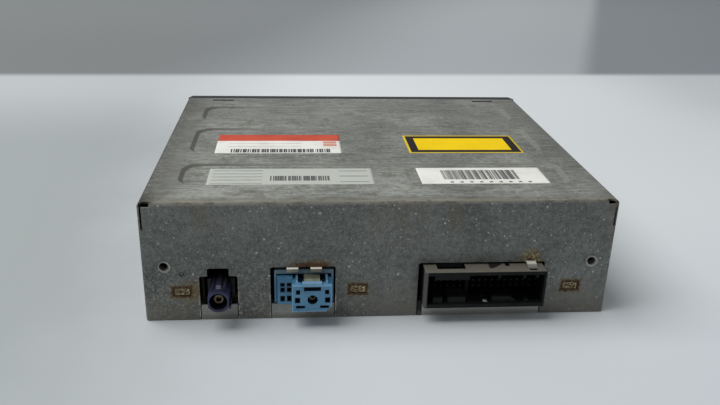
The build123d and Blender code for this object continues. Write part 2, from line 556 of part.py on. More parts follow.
RIBBON_X = (-20.0, 4.0)
RIBBON_Y = 40.0
RIBBON_LOW = BOARD_TOP + 1.4
RX0, RX1 = RIBBON_X
socket = box(RX0 - 2, RX1 + 2, RIBBON_Y - 1, RIBBON_Y + 4, BOARD_TOP, BOARD_TOP + 2.6)
socket -= box(RX0 - 0.2, RX1 + 0.2, RIBBON_Y, RIBBON_Y + 6, RIBBON_LOW - 0.3, RIBBON_LOW + 0.3)
sockets = [socket]
for x, back, wide in ((-52, 10, 18), (POWER_X + 0.5, 11, 8), (20, 16, 14)):
    y = BOARD_FRONT - back
    part = box(x - wide / 2, x + wide / 2, y - 3, y + 3, BOARD_TOP, BOARD_TOP + 5.0)
    part -= box(x - wide / 2 + 0.8, x + wide / 2 - 0.8, y - 2.2, y + 2.2, BOARD_TOP + 1, BOARD_TOP + 6)
    sockets.append(part)
save("board_sockets", group(sockets))

# Front bezel: hollow moulding with a sleeve, a disc slot, a shutter recess and hooks
outline = [(-HALF, COVER_END), (HALF, COVER_END), (HALF, FRONT - 5)]
outline += [(HALF - 2, FRONT), (2 - HALF, FRONT), (-HALF, FRONT - 5)]
bezel = flat_xy(outline, COVER_BOTTOM, HEIGHT)
top_front = bezel.edges().group_by(Axis.Z)[-1].sort_by(Axis.Y)[-1]
low_front = bezel.edges().group_by(Axis.Z)[0].sort_by(Axis.Y)[-1]
bezel = fillet([top_front, low_front], 1.0)
WALL_IN = FRONT - 2.4
bezel -= box(3 - HALF, HALF - 3, COVER_END - 1, WALL_IN, 2.6, HEIGHT - 2.5)
LEFT, RIGHT, LOW_Z, HIGH_Z = RECESS
bezel += box(LEFT - 3, RIGHT + 3, FRONT - 3.6, FRONT - 1, LOW_Z - 2, HEIGHT - 2)
bezel -= box(LEFT, RIGHT, FRONT - 2.0, FRONT + 1, LOW_Z, HIGH_Z)
bezel -= box(LEFT - 1.2, RIGHT + 1.2, FRONT - 2.0, FRONT - 1.0, LOW_Z, HIGH_Z)
sleeve = box(-TRAY_HALF + 0.1, TRAY_HALF - 0.1, FRONT - 13.5, COVER_END + 0.5, 1.0, TOP_IN - 0.3)
sleeve -= box(3 - HALF, HALF - 3, FRONT - 14, COVER_END + 2, 2.6, HEIGHT - 2.5)
bezel += sleeve
wide = SLOT_HALF + 1.5
bezel += box(-wide, wide, FRONT - 12.5, FRONT - 3, SLOT_Z[0] - 1.3, SLOT_Z[1] + 1.3)
bezel -= plate_xz(-SLOT_HALF, SLOT_HALF, *SLOT_Z, 2.2, FRONT - 14, FRONT + 1)
for x in (5.0 - SLOT_HALF, -20.0, 20.0, SLOT_HALF - 5.0):
    bezel += box(x - 0.6, x + 0.6, FRONT - 12.0, FRONT - 3, SLOT_Z[1] + 1.2, HEIGHT - 2.4)
    bezel += box(x - 0.6, x + 0.6, FRONT - 10.0, FRONT - 3, 2.4, LOW_Z + 4)
for hook in pair(HALF - 24.0, HALF - 14.2, COVER_END - 4.55, COVER_END - 3.85, TOP_IN - 0.4, HEIGHT - 0.2):
    bezel += hook
for hook in pair(HALF - 29.6, HALF - 18.4, COVER_END - 4.5, COVER_END - 3.7, 0.15, 1.2):
    bezel += hook
bezel -= box(*BUTTON[:2], FRONT - 5, FRONT + 1, *BUTTON[2:])
LAMP = (10.5 - HALF, HEIGHT - 8.6)
bezel += cyl("Y", LAMP[0], FRONT - 4, LAMP[1], 2.6, 2)
bezel -= cyl("Y", LAMP[0], FRONT - 5, LAMP[1], 1.5, 7)
POST = [(HALF - 10.0, 18.0), (HALF - 10.0, HEIGHT - 18.1)]
BOARD_FACE = FRONT - 10.4
for x, z in POST:
    bezel += cyl("Y", x, BOARD_FACE, z, 2.4, 8.2)
    bezel -= cyl("Y", x, BOARD_FACE - 1, z, 0.9, 7)
save("front_bezel", bezel)

lamp = cyl("Y", LAMP[0], FRONT - 5.0, LAMP[1], 1.5, 5.0)
lamp += cyl("Y", LAMP[0], FRONT - 5.4, LAMP[1], 2.3, 1.4)
save("indicator_lens", lamp)

# Sliding shutter in front of the slot
shutter = box(LEFT + 0.15, RIGHT - 0.15, FRONT - 1.9, FRONT - 0.3, *SHUTTER_Z)
shutter += box(LEFT - 1.05, RIGHT + 1.05, FRONT - 1.9, FRONT - 1.1, *SHUTTER_Z)
for z in [SHUTTER_Z[0] + step for step in (2.8, 4.3, 5.8)]:
    rib = [(FRONT - 0.4, z - 0.5), (FRONT, z - 0.25), (FRONT, z + 0.25), (FRONT - 0.4, z + 0.5)]
    shutter += flat_yz(rib, -14, 14)
save("slot_shutter", shutter)

# Eject button, its switch and the small front board
bx0, bx1, bz0, bz1 = BUTTON
cap = plate_xz(bx0 + 0.15, bx1 - 0.15, bz0 + 0.15, bz1 - 0.15, 0.8, FRONT - 3.4, FRONT)
cap -= plate_xz(bx0 + 1.4, bx1 - 1.4, bz0 + 1.4, bz1 - 1.4, 0.6, FRONT - 0.25, FRONT + 1)
cap += box(bx0 - 0.8, bx1 + 0.8, FRONT - 4.0, FRONT - 2.6, bz0 - 0.8, bz1 + 0.8)
STEM = ((bx0 + bx1) / 2, (bz0 + bz1) / 2)
cap += cyl("Y", STEM[0], FRONT - 5.6, STEM[1], 1.6, 2)
save("eject_button", cap)

front_board = box(HALF - 16.5, HALF - 3.4, BOARD_FACE - 1.6, BOARD_FACE, 4.0, HEIGHT - 3.5)
for x, z in POST:
    front_board -= cyl("Y", x, BOARD_FACE - 3, z, 1.1, 4)
save("front_board", front_board)

switch = box(STEM[0] - 3, STEM[0] + 3, BOARD_FACE, BOARD_FACE + 3.0, STEM[1] - 3, STEM[1] + 3)
switch += cyl("Y", STEM[0], BOARD_FACE + 3.0, STEM[1], 1.5, 0.6)
plug = box(STEM[0] - 4, STEM[0] + 4, BOARD_FACE - 5.6, BOARD_FACE - 1.6, 5.0, 13.0)
plug -= box(STEM[0] - 3.2, STEM[0] + 3.2, BOARD_FACE - 7, BOARD_FACE - 2.6, 6, 12)
save("eject_switch", group([switch, plug]))

# Cradle: two brackets that stand on the tray's ears and hold the rubber dampers
WINDOW_Z = (FLOOR_BOTTOM + 4.8, FLOOR_BOTTOM + 16.8)
CRADLE_Y = (DECK_REAR + 6, DECK_FRONT - 6)
brackets = []
for side in (-1, 1):
    low, high = sorted((side * CRADLE_X, side * (CRADLE_X + SHEET)))
    plate = box(low, high, *CRADLE_Y, FLOOR_BOTTOM, CRADLE_TOP)
    plate -= [box(low - 1, high + 1, y - 7, y + 7, *WINDOW_Z) for y in (-32, -14, 4, 36, 52)]
    plate -= [cyl("X", low - 1, y, DAMPER_Z, DAMPER_R, 3) for y in DAMPER_Y]
    for y in EAR_Y:
        flange_low, flange_high = sorted((side * CRADLE_X, side * (HALF - 3.0)))
        plate += box(flange_low, flange_high, y - EAR_HALF, y + EAR_HALF, FLOOR_BOTTOM, FLOOR_TOP)
        plate -= cyl("Z", side * EAR_SCREW_X, y, FLOOR_BOTTOM - 1, 1.6, 3)
    top_low, top_high = sorted((side * CRADLE_X, side * (CRADLE_X + 4)))
    plate += box(top_low, top_high, *CRADLE_Y, CRADLE_TOP - SHEET, CRADLE_TOP)
    brackets.append(plate)
save("deck_brackets", group(brackets))

dampers = []
for side in (-1, 1):
    for y in DAMPER_Y:
        turn = Rot(0, 0, 0) if side > 0 else Rot(0, 0, 180)
        soft = cyl("X", 0, 0, 0, 5.4, CRADLE_X - DECK_HALF)
        soft -= tube("X", 1.2, 0, 0, 6, 4.6, 1.0)
        soft += cyl("X", CRADLE_X - DECK_HALF, 0, 0, DAMPER_R, SHEET)
        soft += cone("X", CRADLE_X - DECK_HALF + SHEET, 0, 0, 5.2, 4.2, 1.4)
        soft -= cyl("X", -1, 0, 0, DAMPER_PIN_R, 9)
        dampers.append(Pos(side * DECK_HALF, y, DAMPER_Z) * turn * soft)
save("dampers", group(dampers))

# Drive frame: the floor, walls, hinge ears and pins of the floating drive
frame = box(-DECK_HALF, DECK_HALF, DECK_REAR, DECK_FRONT, FLOOR_BOTTOM, FLOOR_TOP)
frame += pair(DECK_IN, DECK_HALF, DECK_REAR, DECK_FRONT, FLOOR_BOTTOM, LID_Z)
frame += box(-DECK_HALF, DECK_HALF, DECK_REAR, DECK_REAR + SHEET, FLOOR_BOTTOM, LID_Z)
THROUGH = (FLOOR_BOTTOM - 2, FLOOR_TOP + 2)
for x, rows in ((30, (-44, -24, 12)), (50, (-44, -24, 4)), (-54, (-10, 8)), (-34, (-10, 8))):
    frame -= [plate_xy(x - 8, x + 8, y - 8, y + 8, 3, *THROUGH) for y in rows]
for x in (-48, -24, 0, 24, 48):
    frame -= plate_xy(x - 8, x + 8, DECK_FRONT - 14, DECK_FRONT - 4, 2, *THROUGH)
frame -= [box(-100, 100, y - 8, y + 8, FLOOR_BOTTOM + 5.8, FLOOR_BOTTOM + 17.8) for y in (-32, -14, 4)]
for x in (-40, 0, 40):
    frame -= box(x - 8, x + 8, DECK_REAR - 1, DECK_REAR + 2, FLOOR_TOP + 2, FLOOR_TOP + 8)
for x, y in SERVO_SCREWS:
    frame += cyl("Z", x, y, SERVO_TOP, 2.5, FLOOR_BOTTOM - SERVO_TOP)
    frame -= cyl("Z", x, y, SERVO_TOP - 1, 0.9, 5)
frame -= [cyl("Z", x, y, FLOOR_BOTTOM - 1, 1.05, 3) for x, y in LUGS]
ears = pair(20.6, 21.4, DECK_REAR + 0.4, CLAMP_Y + 2.2, LID_Z - 3.2, LID_Z - 0.3)
frame += ears
frame -= cyl("X", -30, CLAMP_Y, CLAMP_Z, 1.0, 60)
my, mz = MOTOR_AT
motor_tab = box(ARM_PLATE_X - 1.4, ARM_PLATE_X - 0.6, my - 7, my + 7, FLOOR_BOTTOM, mz + 5.5)
motor_tab -= cyl("X", ARM_PLATE_X - 2.6, my, mz, 2.1, 3)
frame += motor_tab
frame -= [cyl("X", -100, y, DAMPER_Z, DAMPER_PIN_R, 200) for y in DAMPER_Y]
frame -= cyl("X", -100, ARM_PIVOT[0], ARM_PIVOT[1], 1.2, 200)
near = MODULE * (PINION_T + BIG_T) / 2
far = MODULE * (SMALL_T + PIVOT_T) / 2
span = math.dist(MOTOR_AT, ARM_PIVOT)
part_way = (near ** 2 - far ** 2 + span ** 2) / (2 * span)
rise = math.sqrt(near ** 2 - part_way ** 2)
unit = ((ARM_PIVOT[0] - MOTOR_AT[0]) / span, (ARM_PIVOT[1] - MOTOR_AT[1]) / span)
GEAR1 = (MOTOR_AT[0] + unit[0] * part_way - unit[1] * rise,
         MOTOR_AT[1] + unit[1] * part_way + unit[0] * rise)
frame -= cyl("X", ARM_PLATE_X, GEAR1[0], GEAR1[1], 0.9, 20)
for x in (-STUD_X, STUD_X):
    frame -= cyl("Y", x, DECK_REAR - 1, STUD_Z, 1.0, 3)
save("deck_frame", frame)

# Steel pins fixed in the drive frame: damper pins, gear pins, hinge pins and studs
PIN_ROOM = DECK_IN - ARM_PLATE_X
fixed = []
for side in (-1, 1):
    turn = Rot(0, 0, 0) if side > 0 else Rot(0, 0, 180)
    for y in DAMPER_Y:
        pin = cyl("X", DECK_IN - 0.4, 0, 0, DAMPER_PIN_R, CRADLE_X - DECK_IN + 2.4)
        pin += cyl("X", DECK_IN - 0.8, 0, 0, 2.6, 0.8)
        fixed.append(Pos(0, y, DAMPER_Z) * turn * pin)
    hinge = cyl("X", 19.2, 0, 0, 1.0, 3.0) + cyl("X", 21.4, 0, 0, 1.6, 0.6)
    fixed.append(Pos(0, CLAMP_Y, CLAMP_Z) * turn * hinge)
    pivot = cyl("X", ARM_PLATE_X - 0.5, 0, 0, 1.5, PIN_ROOM + 0.5)
    pivot += cyl("X", DECK_IN - 0.5, 0, 0, 1.2, 1.3)
    if side < 0:
        pivot += cyl("X", ARM_PLATE_X + 0.9, 0, 0, 2.4, PIN_ROOM - 0.9)
        pivot += cyl("X", ARM_PLATE_X - 0.5, 0, 0, 2.4, 0.4)
    fixed.append(Pos(0, *ARM_PIVOT) * turn * pivot)
    stud = cyl("Y", 0, DECK_REAR, 0, 1.0, 1) + cyl("Y", 0, DECK_REAR + SHEET, 0, 1.2, 1.25)
    stud += cyl("Y", 0, DECK_REAR + SHEET + 1.2, 0, 1.9, 0.6)
    fixed.append(Pos(side * STUD_X, 0, STUD_Z) * stud)
axle = cyl("X", ARM_PLATE_X + 1.3, *GEAR1, 1.0, PIN_ROOM - 1.3)
axle += cyl("X", DECK_IN - 0.5, *GEAR1, 0.9, 1.3)
axle += cyl("X", ARM_PLATE_X + 7.0, *GEAR1, 1.9, PIN_ROOM - 7.0)
fixed.append(axle)
save("drive_pins", group(fixed))

# Lid with a round opening over the clamper, and the moulded upper guide of the disc
lid = plate_xy(-DECK_HALF - 1, DECK_HALF + 1, DECK_REAR - 1, DECK_FRONT, 1.0, LID_Z, LID_Z + SHEET)
lid += pair(DECK_HALF + 0.2, DECK_HALF + 1, DECK_REAR - 1, DECK_FRONT, LID_Z - 3, LID_Z + 0.4)
lid += box(-DECK_HALF - 1, DECK_HALF + 1, DECK_REAR - 1, DECK_REAR - 0.2, LID_Z - 3, LID_Z + 0.4)
lid -= cyl("Z", 0, SPIN_Y, LID_Z - 1, 16.0, 4)
for x in (-52, -34, 34, 52):
    for y in (-36, -18, 0, 18, 36):
        lid -= plate_xy(x - 7, x + 7, y - 7, y + 7, 3, LID_Z - 1, LID_Z + 2)
for side in (-1, 1):
    wall = side * (DECK_HALF - 1)
    for y in DAMPER_Y:
        lid -= box(wall - 3, wall + 3, y - 7, y + 7, LID_Z - 5, LID_Z - 2.9)
LID_SCREW_ROWS = (DECK_REAR + 4.5, DECK_FRONT - 7.0)
LID_SCREWS = [(x, y) for y in LID_SCREW_ROWS for x in (4.0 - DECK_HALF, DECK_HALF - 4.0)]
for x, y in LID_SCREWS:
    lid -= cyl("Z", x, y, LID_Z - 1, 1.1, 3)
save("deck_lid", lid)

guide = box(-GUIDE_HALF, GUIDE_HALF, DECK_FRONT - 12.5, DECK_FRONT, GUIDE_Z + 0.6, LID_Z)
lead_in = [(DECK_FRONT - 13, GUIDE_Z), (DECK_FRONT - 9.5, GUIDE_Z), (DECK_FRONT - 13, GUIDE_Z + 2.4)]
guide -= flat_yz(lead_in, -HALF, HALF)
for n in range(9):
    x = (n / 4 - 1) * (GUIDE_HALF - 10)
    guide += box(x - 0.6, x + 0.6, DECK_FRONT - 9.5, DECK_FRONT, GUIDE_Z, LID_Z - 0.5)
guide += pair(GUIDE_HALF, DECK_HALF - 2.4, DECK_FRONT - 11, DECK_FRONT - 3, GUIDE_Z, LID_Z)
for x, y in LID_SCREWS[2:]:
    guide -= cyl("Z", x, y, GUIDE_Z - 1, 0.8, 8)
save("disc_guide", guide)

# Control board of the drive, hung under the drive frame
servo = box(-55, 55, -42, 38, SERVO_TOP - 1.6, SERVO_TOP)
servo -= [cyl("Z", x, y, SERVO_TOP - 3, 1.1, 5) for x, y in SERVO_SCREWS]
save("servo_board", servo)

under = SERVO_TOP - 1.6
DRIVERS = [(10, 4, 20, 20, 1.4), (-24, -10, 14, 14, 1.2), (34, -14, 12, 10, 1.4)]
DRIVERS.append((-34, 18, 8, 18, 1.0))
chips = []
for x, y, wide, deep, tall in DRIVERS:
    chips.append(box(x - wide / 2, x + wide / 2, y - deep / 2, y + deep / 2, under - tall, under))
socket = box(RX0 - 2, RX1 + 2, 31.5, 36.5, under - 2.2, under)
RIBBON_HIGH = under - 1.2
socket -= box(RX0 - 0.2, RX1 + 0.2, 33, 38, RIBBON_HIGH - 0.3, RIBBON_HIGH + 0.3)
chips.append(socket)
save("servo_chips", group(chips))

# Flat cable between the two boards
bend = (RIBBON_HIGH - RIBBON_LOW) / 2
halfway = (RIBBON_HIGH + RIBBON_LOW) / 2
ribbon = tube("X", RX0, RIBBON_Y + 8, halfway, bend + 0.15, bend - 0.15, RX1 - RX0)
ribbon &= box(-30, 20, RIBBON_Y + 8, RIBBON_Y + 20, 0, 30)
ribbon += box(RX0, RX1, RIBBON_Y + 0.3, RIBBON_Y + 8, RIBBON_LOW - 0.15, RIBBON_LOW + 0.15)
ribbon += box(RX0, RX1, 33.3, RIBBON_Y + 8, RIBBON_HIGH - 0.15, RIBBON_HIGH + 0.15)
save("main_ribbon", ribbon)

# Traverse: moulded frame that holds the spindle motor and the two guide rods
trav = box(TRAV_LEFT, 17.0, -34, 32, FLOOR_TOP, TRAV_TOP)
trav -= box(TRAV_LEFT + 1.8, -13.4, -31.4, 29.4, FLOOR_TOP - 1, TRAV_TOP + 3)
trav -= box(-11.0, 14.6, -31.4, 29.4, FLOOR_TOP + 1.6, TRAV_TOP + 3)
for x, y in LUGS:
    low, high = sorted((y, 0.9 * y))
    trav += cyl("Z", x, y, FLOOR_TOP, 3.0, 3.0) + box(x - 3, x + 3, low, high, FLOOR_TOP, TRAV_TOP)
trav -= box(TRAV_LEFT + 1.8, -13.4, -31.4, 29.4, FLOOR_TOP - 1, TRAV_TOP + 3)
for x, y in LUGS:
    trav -= cyl("Z", x, y, FLOOR_TOP - 1, 1.05, 6)
for y in ROD_Y:
    trav += box(TRAV_LEFT, TRAV_LEFT + 1.6, y - 3, y + 3, FLOOR_TOP, ROD_Z + 2.6)
    trav += box(-13.2, -10.8, y - 3, y + 3, FLOOR_TOP, ROD_Z + 2.6)
trav += [box(-10.9, 14.7, y - 0.6, y + 0.6, FLOOR_TOP + 1.5, TRAV_TOP) for y in (-24.0, 22.0)]
trav -= [cyl("X", TRAV_LEFT - 1, y, ROD_Z, ROD_R, -TRAV_LEFT) for y in ROD_Y]
trav -= cyl("Z", 0, SPIN_Y, FLOOR_TOP - 1, 2.4, 6)
save("traverse_frame", trav)

save("guide_rods", group([cyl("X", TRAV_LEFT, y, ROD_Z, ROD_R, -10.8 - TRAV_LEFT) for y in ROD_Y]))

# Spindle motor: base with bearing and wound core, rotor cup with shaft, and turntable
BASE_Z = FLOOR_TOP + 1.6
base = cyl("Z", 0, SPIN_Y, BASE_Z, 13.0, 0.8) & box(-10.6, 30, -30, 30, BASE_Z - 1, BASE_Z + 2)
base += cyl("Z", 0, SPIN_Y, FLOOR_TOP + 0.2, 2.4, 7.2)
core = cyl("Z", 0, SPIN_Y, BASE_Z + 3.0, 4.2, 2.2)
for n in range(9):
    arm = box(3.5, 10.4, -0.8, 0.8, BASE_Z + 3.3, BASE_Z + 4.9)
    arm += box(9.0, 10.6, -2.6, 2.6, BASE_Z + 3.3, BASE_Z + 4.9)
    arm += box(4.6, 8.8, -1.3, 1.3, BASE_Z + 3.1, BASE_Z + 5.1)
    core += Pos(0, SPIN_Y, 0) * Rot(0, 0, 40 * n) * arm
base += core
base -= cyl("Z", 0, SPIN_Y, FLOOR_TOP + 0.8, 1.0 + RUN, 10)
save("spindle_base", base)

rotor = cyl("Z", 0, SPIN_Y, BASE_Z + 1.8, 12.0, 5.0) - cyl("Z", 0, SPIN_Y, BASE_Z + 1.4, 11.2, 4.6)
ROTOR_SHAFT_TOP = FLOOR_TOP + 12.0
rotor += cyl("Z", 0, SPIN_Y, FLOOR_TOP + 1.0, 1.0, ROTOR_SHAFT_TOP - FLOOR_TOP - 1.0)
save("rotor_cup", rotor)

table = cyl("Z", 0, SPIN_Y, DISC_Z - 2.2, 14.0, 1.8)
table -= tube("Z", 0, SPIN_Y, DISC_Z - 2.4, 13.0, 6.0, 1.2)
table += tube("Z", 0, SPIN_Y, DISC_Z - 0.6, 13.4, 10.0, 0.6)
table += cyl("Z", 0, SPIN_Y, DISC_Z - 0.6, 7.4, 1.0)
table += cone("Z", 0, SPIN_Y, DISC_Z + 0.4, 7.4, 6.2, 1.2)
table += cone("Z", 0, SPIN_Y, DISC_Z + 1.6, 6.2, 4.4, CONE_TOP - DISC_Z - 1.6)
table -= cyl("Z", 0, SPIN_Y, DISC_Z - 2.6, 1.0, ROTOR_SHAFT_TOP - DISC_Z + 2.6)
table -= cyl("Z", 0, SPIN_Y, CONE_TOP - 0.8, 2.2, 2)
for n in range(3):
    table -= Pos(0, SPIN_Y, 0) * Rot(0, 0, 120 * n) * box(5.6, 8.0, -1.0, 1.0, DISC_Z + 0.5, CONE_TOP + 1)
save("turntable", table)

# Pickup: cast body on the rods, focus shaft, lens holder, lens and rack
px = PICKUP_X
cast = box(px - 12, px + 9.5, -21, 19.5, ROD_Z - 3.5, ROD_Z + 2.9)
cast += cyl("X", px - 12, ROD_Y[0], ROD_Z, 3.0, 21.5)
cast += box(px - 12, px + 9.5, ROD_Y[0], -20, ROD_Z - 2.9, ROD_Z + 2.1)
cast += box(px - 5, px + 5, 19, ROD_Y[1] + 3.4, ROD_Z - 2.6, ROD_Z + 2.6)
cast -= cyl("X", px - 20, ROD_Y[0], ROD_Z, ROD_R + RUN, 40)
cast -= box(px - 20, px + 20, ROD_Y[1] - 1.6, ROD_Y[1] + 6, ROD_Z - ROD_R - RUN, ROD_Z + ROD_R + RUN)
cast -= plate_xy(px - 6.0, px + 6.0, -17.5, 5.0, 5.0, ROD_Z - 0.3, ROD_Z + 9)
for y in (-14, -10, -6, 8, 12):
    cast -= box(px - 11, px + 8.5, y, y + 1.2, ROD_Z - 4.5, ROD_Z - 2.3)
cast -= box(px - 10.8, px - 7.0, -16, 12, ROD_Z + 1.1, ROD_Z + 9)
cast -= box(px + 7.2, px + 8.6, -16, 12, ROD_Z + 1.1, ROD_Z + 9)
cast -= cyl("Z", px, 12.2, ROD_Z + 0.9, 4.0, 9)
cast += cyl("Z", px, 12.2, ROD_Z + 0.5, 2.6, 1.8)
SHAFT_Y = -7.0
cast += cyl("Z", px, SHAFT_Y, ROD_Z - 0.5, 0.75, 5.0)
for x in (px - 5.0, px + 5.0):
    cast += box(x - 0.6, x + 0.6, -10.5, -3.5, ROD_Z - 0.5, ROD_Z + 2.9)
save("pickup_body", cast)

holder = plate_xy(px - 3.6, px + 3.6, -15.5, 2.9, 3.4, ROD_Z + 1.7, ROD_Z + 3.7)
holder += cyl("Z", px, SHAFT_Y, ROD_Z + 0.7, 2.4, 3.0)
holder -= cyl("Z", px, SHAFT_Y, ROD_Z - 0.5, 0.75 + RUN, 8)
holder -= cyl("Z", px, SPIN_Y, ROD_Z - 0.5, 2.4, 8)
holder += tube("Z", px, SPIN_Y, ROD_Z + 1.7, 3.0, 2.4, 2.4)
save("lens_holder", holder)

lens = cyl("Z", px, SPIN_Y, ROD_Z + 2.7, 2.4, 1.2)
dome = Pos(px, SPIN_Y, ROD_Z + 1.3) * Sphere(3.6) & cyl("Z", px, SPIN_Y, ROD_Z + 3.7, 2.2, 4)
save("objective_lens", lens + dome)

pitch = math.pi * MODULE
rack_z = (ROD_Z + 0.7, ROD_Z + 2.7)
tip_y = RACK_LINE - 0.9 * MODULE
root_y = RACK_LINE + 1.2 * MODULE
bar = box(px - 8, px + 30, root_y, ROD_Y[0] - 3.6, *rack_z)
tip_half = pitch / 4 - BACKLASH / 4 - 0.9 * MODULE * math.tan(math.radians(20))
root_half = pitch / 4 - BACKLASH / 4 + 1.2 * MODULE * math.tan(math.radians(20))
gap_at = SLED_AT[0]
count = int((px + 30 - gap_at) / pitch) + 1
for n in range(-2, count):
    x = gap_at + (n + 0.5) * pitch
    if px - 7.4 < x < px + 29.4:
        tooth = [(x - root_half, root_y + 0.1), (x - tip_half, tip_y)]
        tooth += [(x + tip_half, tip_y), (x + root_half, root_y + 0.1)]
        bar += flat_xy(tooth, *rack_z)
bar += box(px - 7, px + 7, ROD_Y[0] - 3.8, ROD_Y[0] - 2.0, *rack_z)
bar -= cyl("X", px - 20, ROD_Y[0], ROD_Z, 3.0, 60)
save("pickup_rack", bar)

# Sled gear between the rack and the sled motor
line = SLED_MOTOR_TURN
reach = MODULE * (SLED_BIG_T + PINION_T) / 2
SLED_MOTOR = (SLED_AT[0] + reach * math.cos(math.radians(line)),
              SLED_AT[1] + reach * math.sin(math.radians(line)))
cog = Pos(*SLED_AT, ROD_Z - 1.1) * gear(SLED_BIG_T, line, 1.5)
cog += Pos(*SLED_AT, ROD_Z + 0.4) * gear(SLED_T, 90.0, 2.3)
cog -= cyl("Z", *SLED_AT, FLOOR_TOP, 1.2 + RUN, 20)
save("sled_gear", cog)

pinion = Pos(*SLED_MOTOR, ROD_Z - 1.6) * gear(PINION_T, meshed_phase(line, PINION_T), 2.4)
pinion += cyl("Z", *SLED_MOTOR, ROD_Z - 3.9, 0.75, 8.4)
save("sled_pinion", pinion)

post = cyl("Z", *SLED_AT, FLOOR_TOP, 1.2, 7.6) + cyl("Z", *SLED_AT, FLOOR_TOP, 2.2, 3.2)
post += cyl("Z", *SLED_AT, ROD_Z + 2.9, 1.8, 0.5)
motor = cyl("Z", *SLED_MOTOR, ROD_Z + 1.1, 3.9, 4.2) - cyl("Z", *SLED_MOTOR, ROD_Z + 0.5, 0.75 + RUN, 4.2)
mx, sy = SLED_MOTOR
motor += box(mx - 7, mx - 3, sy - 3, sy + 3, FLOOR_TOP, ROD_Z + 2.5)
motor -= cyl("Z", mx, sy, FLOOR_TOP - 1, 3.5, ROD_Z + 2.1 - FLOOR_TOP)
save("sled_motor", group([motor, post]))

# Clamp arm, drawn raised, and the clamper that hangs in its ring
drop = DISC_Z + 1.4 - CLAMP_Z
swing = math.radians(CLAMP_ANGLE)
CLAMPER_Y = CLAMP_Y + (SPIN_Y - CLAMP_Y) * math.cos(swing) - drop * math.sin(swing)
taper = [(-20.2, CLAMP_Y - 2), (20.2, CLAMP_Y - 2), (20.2, CLAMP_Y + 4)]
taper += [(11, SPIN_Y - 11), (-11, SPIN_Y - 11), (-20.2, CLAMP_Y + 4)]
TAIL_Z = CLAMP_Z - 0.5
arm = flat_xy(taper, CLAMP_PLATE, CLAMP_PLATE + SHEET)
arm += cyl("Z", 0, CLAMPER_Y, CLAMP_PLATE, 13.0, SHEET)
arm += box(-3, 3, CLAMP_Y - 4.6, CLAMP_Y, CLAMP_PLATE, CLAMP_PLATE + SHEET)
arm += box(-3, 3, CLAMP_Y - 5.0, CLAMP_Y - 4.2, CLAMP_Z - 1.4, CLAMP_PLATE + SHEET)
arm += cyl("Y", 0, CLAMP_Y - 6.8, TAIL_Z, 0.6, 2.0)
arm += pair(19.4, 20.2, CLAMP_Y - 2, CLAMP_Y + 3, CLAMP_Z - 1.3, CLAMP_PLATE + SHEET)
ridge = [(-4.0, CLAMP_Y + 6), (4.0, CLAMP_Y + 6), (3.0, SPIN_Y - 17), (-3.0, SPIN_Y - 17)]
groove = [(-3.2, CLAMP_Y + 6.8), (3.2, CLAMP_Y + 6.8), (2.2, SPIN_Y - 17.8), (-2.2, SPIN_Y - 17.8)]
arm += flat_xy(ridge, CLAMP_PLATE, CLAMP_PLATE + 1.4)
arm -= flat_xy(groove, CLAMP_PLATE - 1, CLAMP_PLATE + 0.6)
arm -= [cyl("Z", x, CLAMP_Y + 16, CLAMP_Z - 3.4, 2.4, 8) for x in (-10, 10)]
arm -= cyl("Z", 0, CLAMPER_Y, CLAMP_Z - 3.4, 5.2, 8)
arm -= cyl("X", -30, CLAMP_Y, CLAMP_Z, 1.0 + RUN, 60)
save("clamp_arm", arm)

neck_top = CLAMP_PLATE + SHEET + 0.15
disc = cyl("Z", 0, CLAMPER_Y, CLAMPER_BOTTOM, 11.0, 1.2)
disc += cyl("Z", 0, CLAMPER_Y, CLAMPER_BOTTOM + 1.2, 9.0, 0.5)
disc += cyl("Z", 0, CLAMPER_Y, CLAMPER_BOTTOM + 1.6, 4.6, neck_top - CLAMPER_BOTTOM - 1.6)
disc += cyl("Z", 0, CLAMPER_Y, neck_top - 0.05, 6.6, 0.8)
disc -= cyl("Z", 0, CLAMPER_Y, CLAMPER_BOTTOM - 1, 7.7, 2.2)
disc -= cyl("Z", 0, CLAMPER_Y, CLAMPER_BOTTOM + 1.0, 2.4, 0.9)
disc -= cyl("Z", 0, CLAMPER_Y, neck_top + 0.25, 2.0, 2)
save("clamper", disc)

# Mode slider: its sloping slot lifts and lowers the tail of the clamp arm
lift = 6.5 * math.sin(swing)
sy0, sy1 = DECK_REAR + SHEET + 0.25, DECK_REAR + SHEET + 1.05
slider = box(-29, 39, sy0, sy1, STUD_Z - 3.0, STUD_Z + 4.7)
slider += box(-8.5, 19.5, sy0, sy1, STUD_Z + 4.6, LID_Z - 0.3)
for x in (-STUD_X, STUD_X):
    low, high = x - 1.2 - RUN, x + SLIDER_TRAVEL + 1.2 + RUN
    slider -= plate_xz(low, high, STUD_Z - 1.2 - RUN, STUD_Z + 1.2 + RUN, 1.2, sy0 - 1, sy1 + 1)
slope = lift / SLIDER_TRAVEL
track = [(-1.0, TAIL_Z - 0.75 - slope), (SLIDER_TRAVEL + 1.0, TAIL_Z - 0.75 + slope * 11)]
track += [(SLIDER_TRAVEL + 1.0, TAIL_Z + 0.75 + slope * 11), (-1.0, TAIL_Z + 0.75 - slope)]
slider -= flat_xz(track, sy0 - 1, sy1 + 1)
slider -= plate_xz(-8, 18, STUD_Z - 1.4, STUD_Z + 2.4, 1.2, sy0 - 1, sy1 + 1)
save("mode_slider", slider)

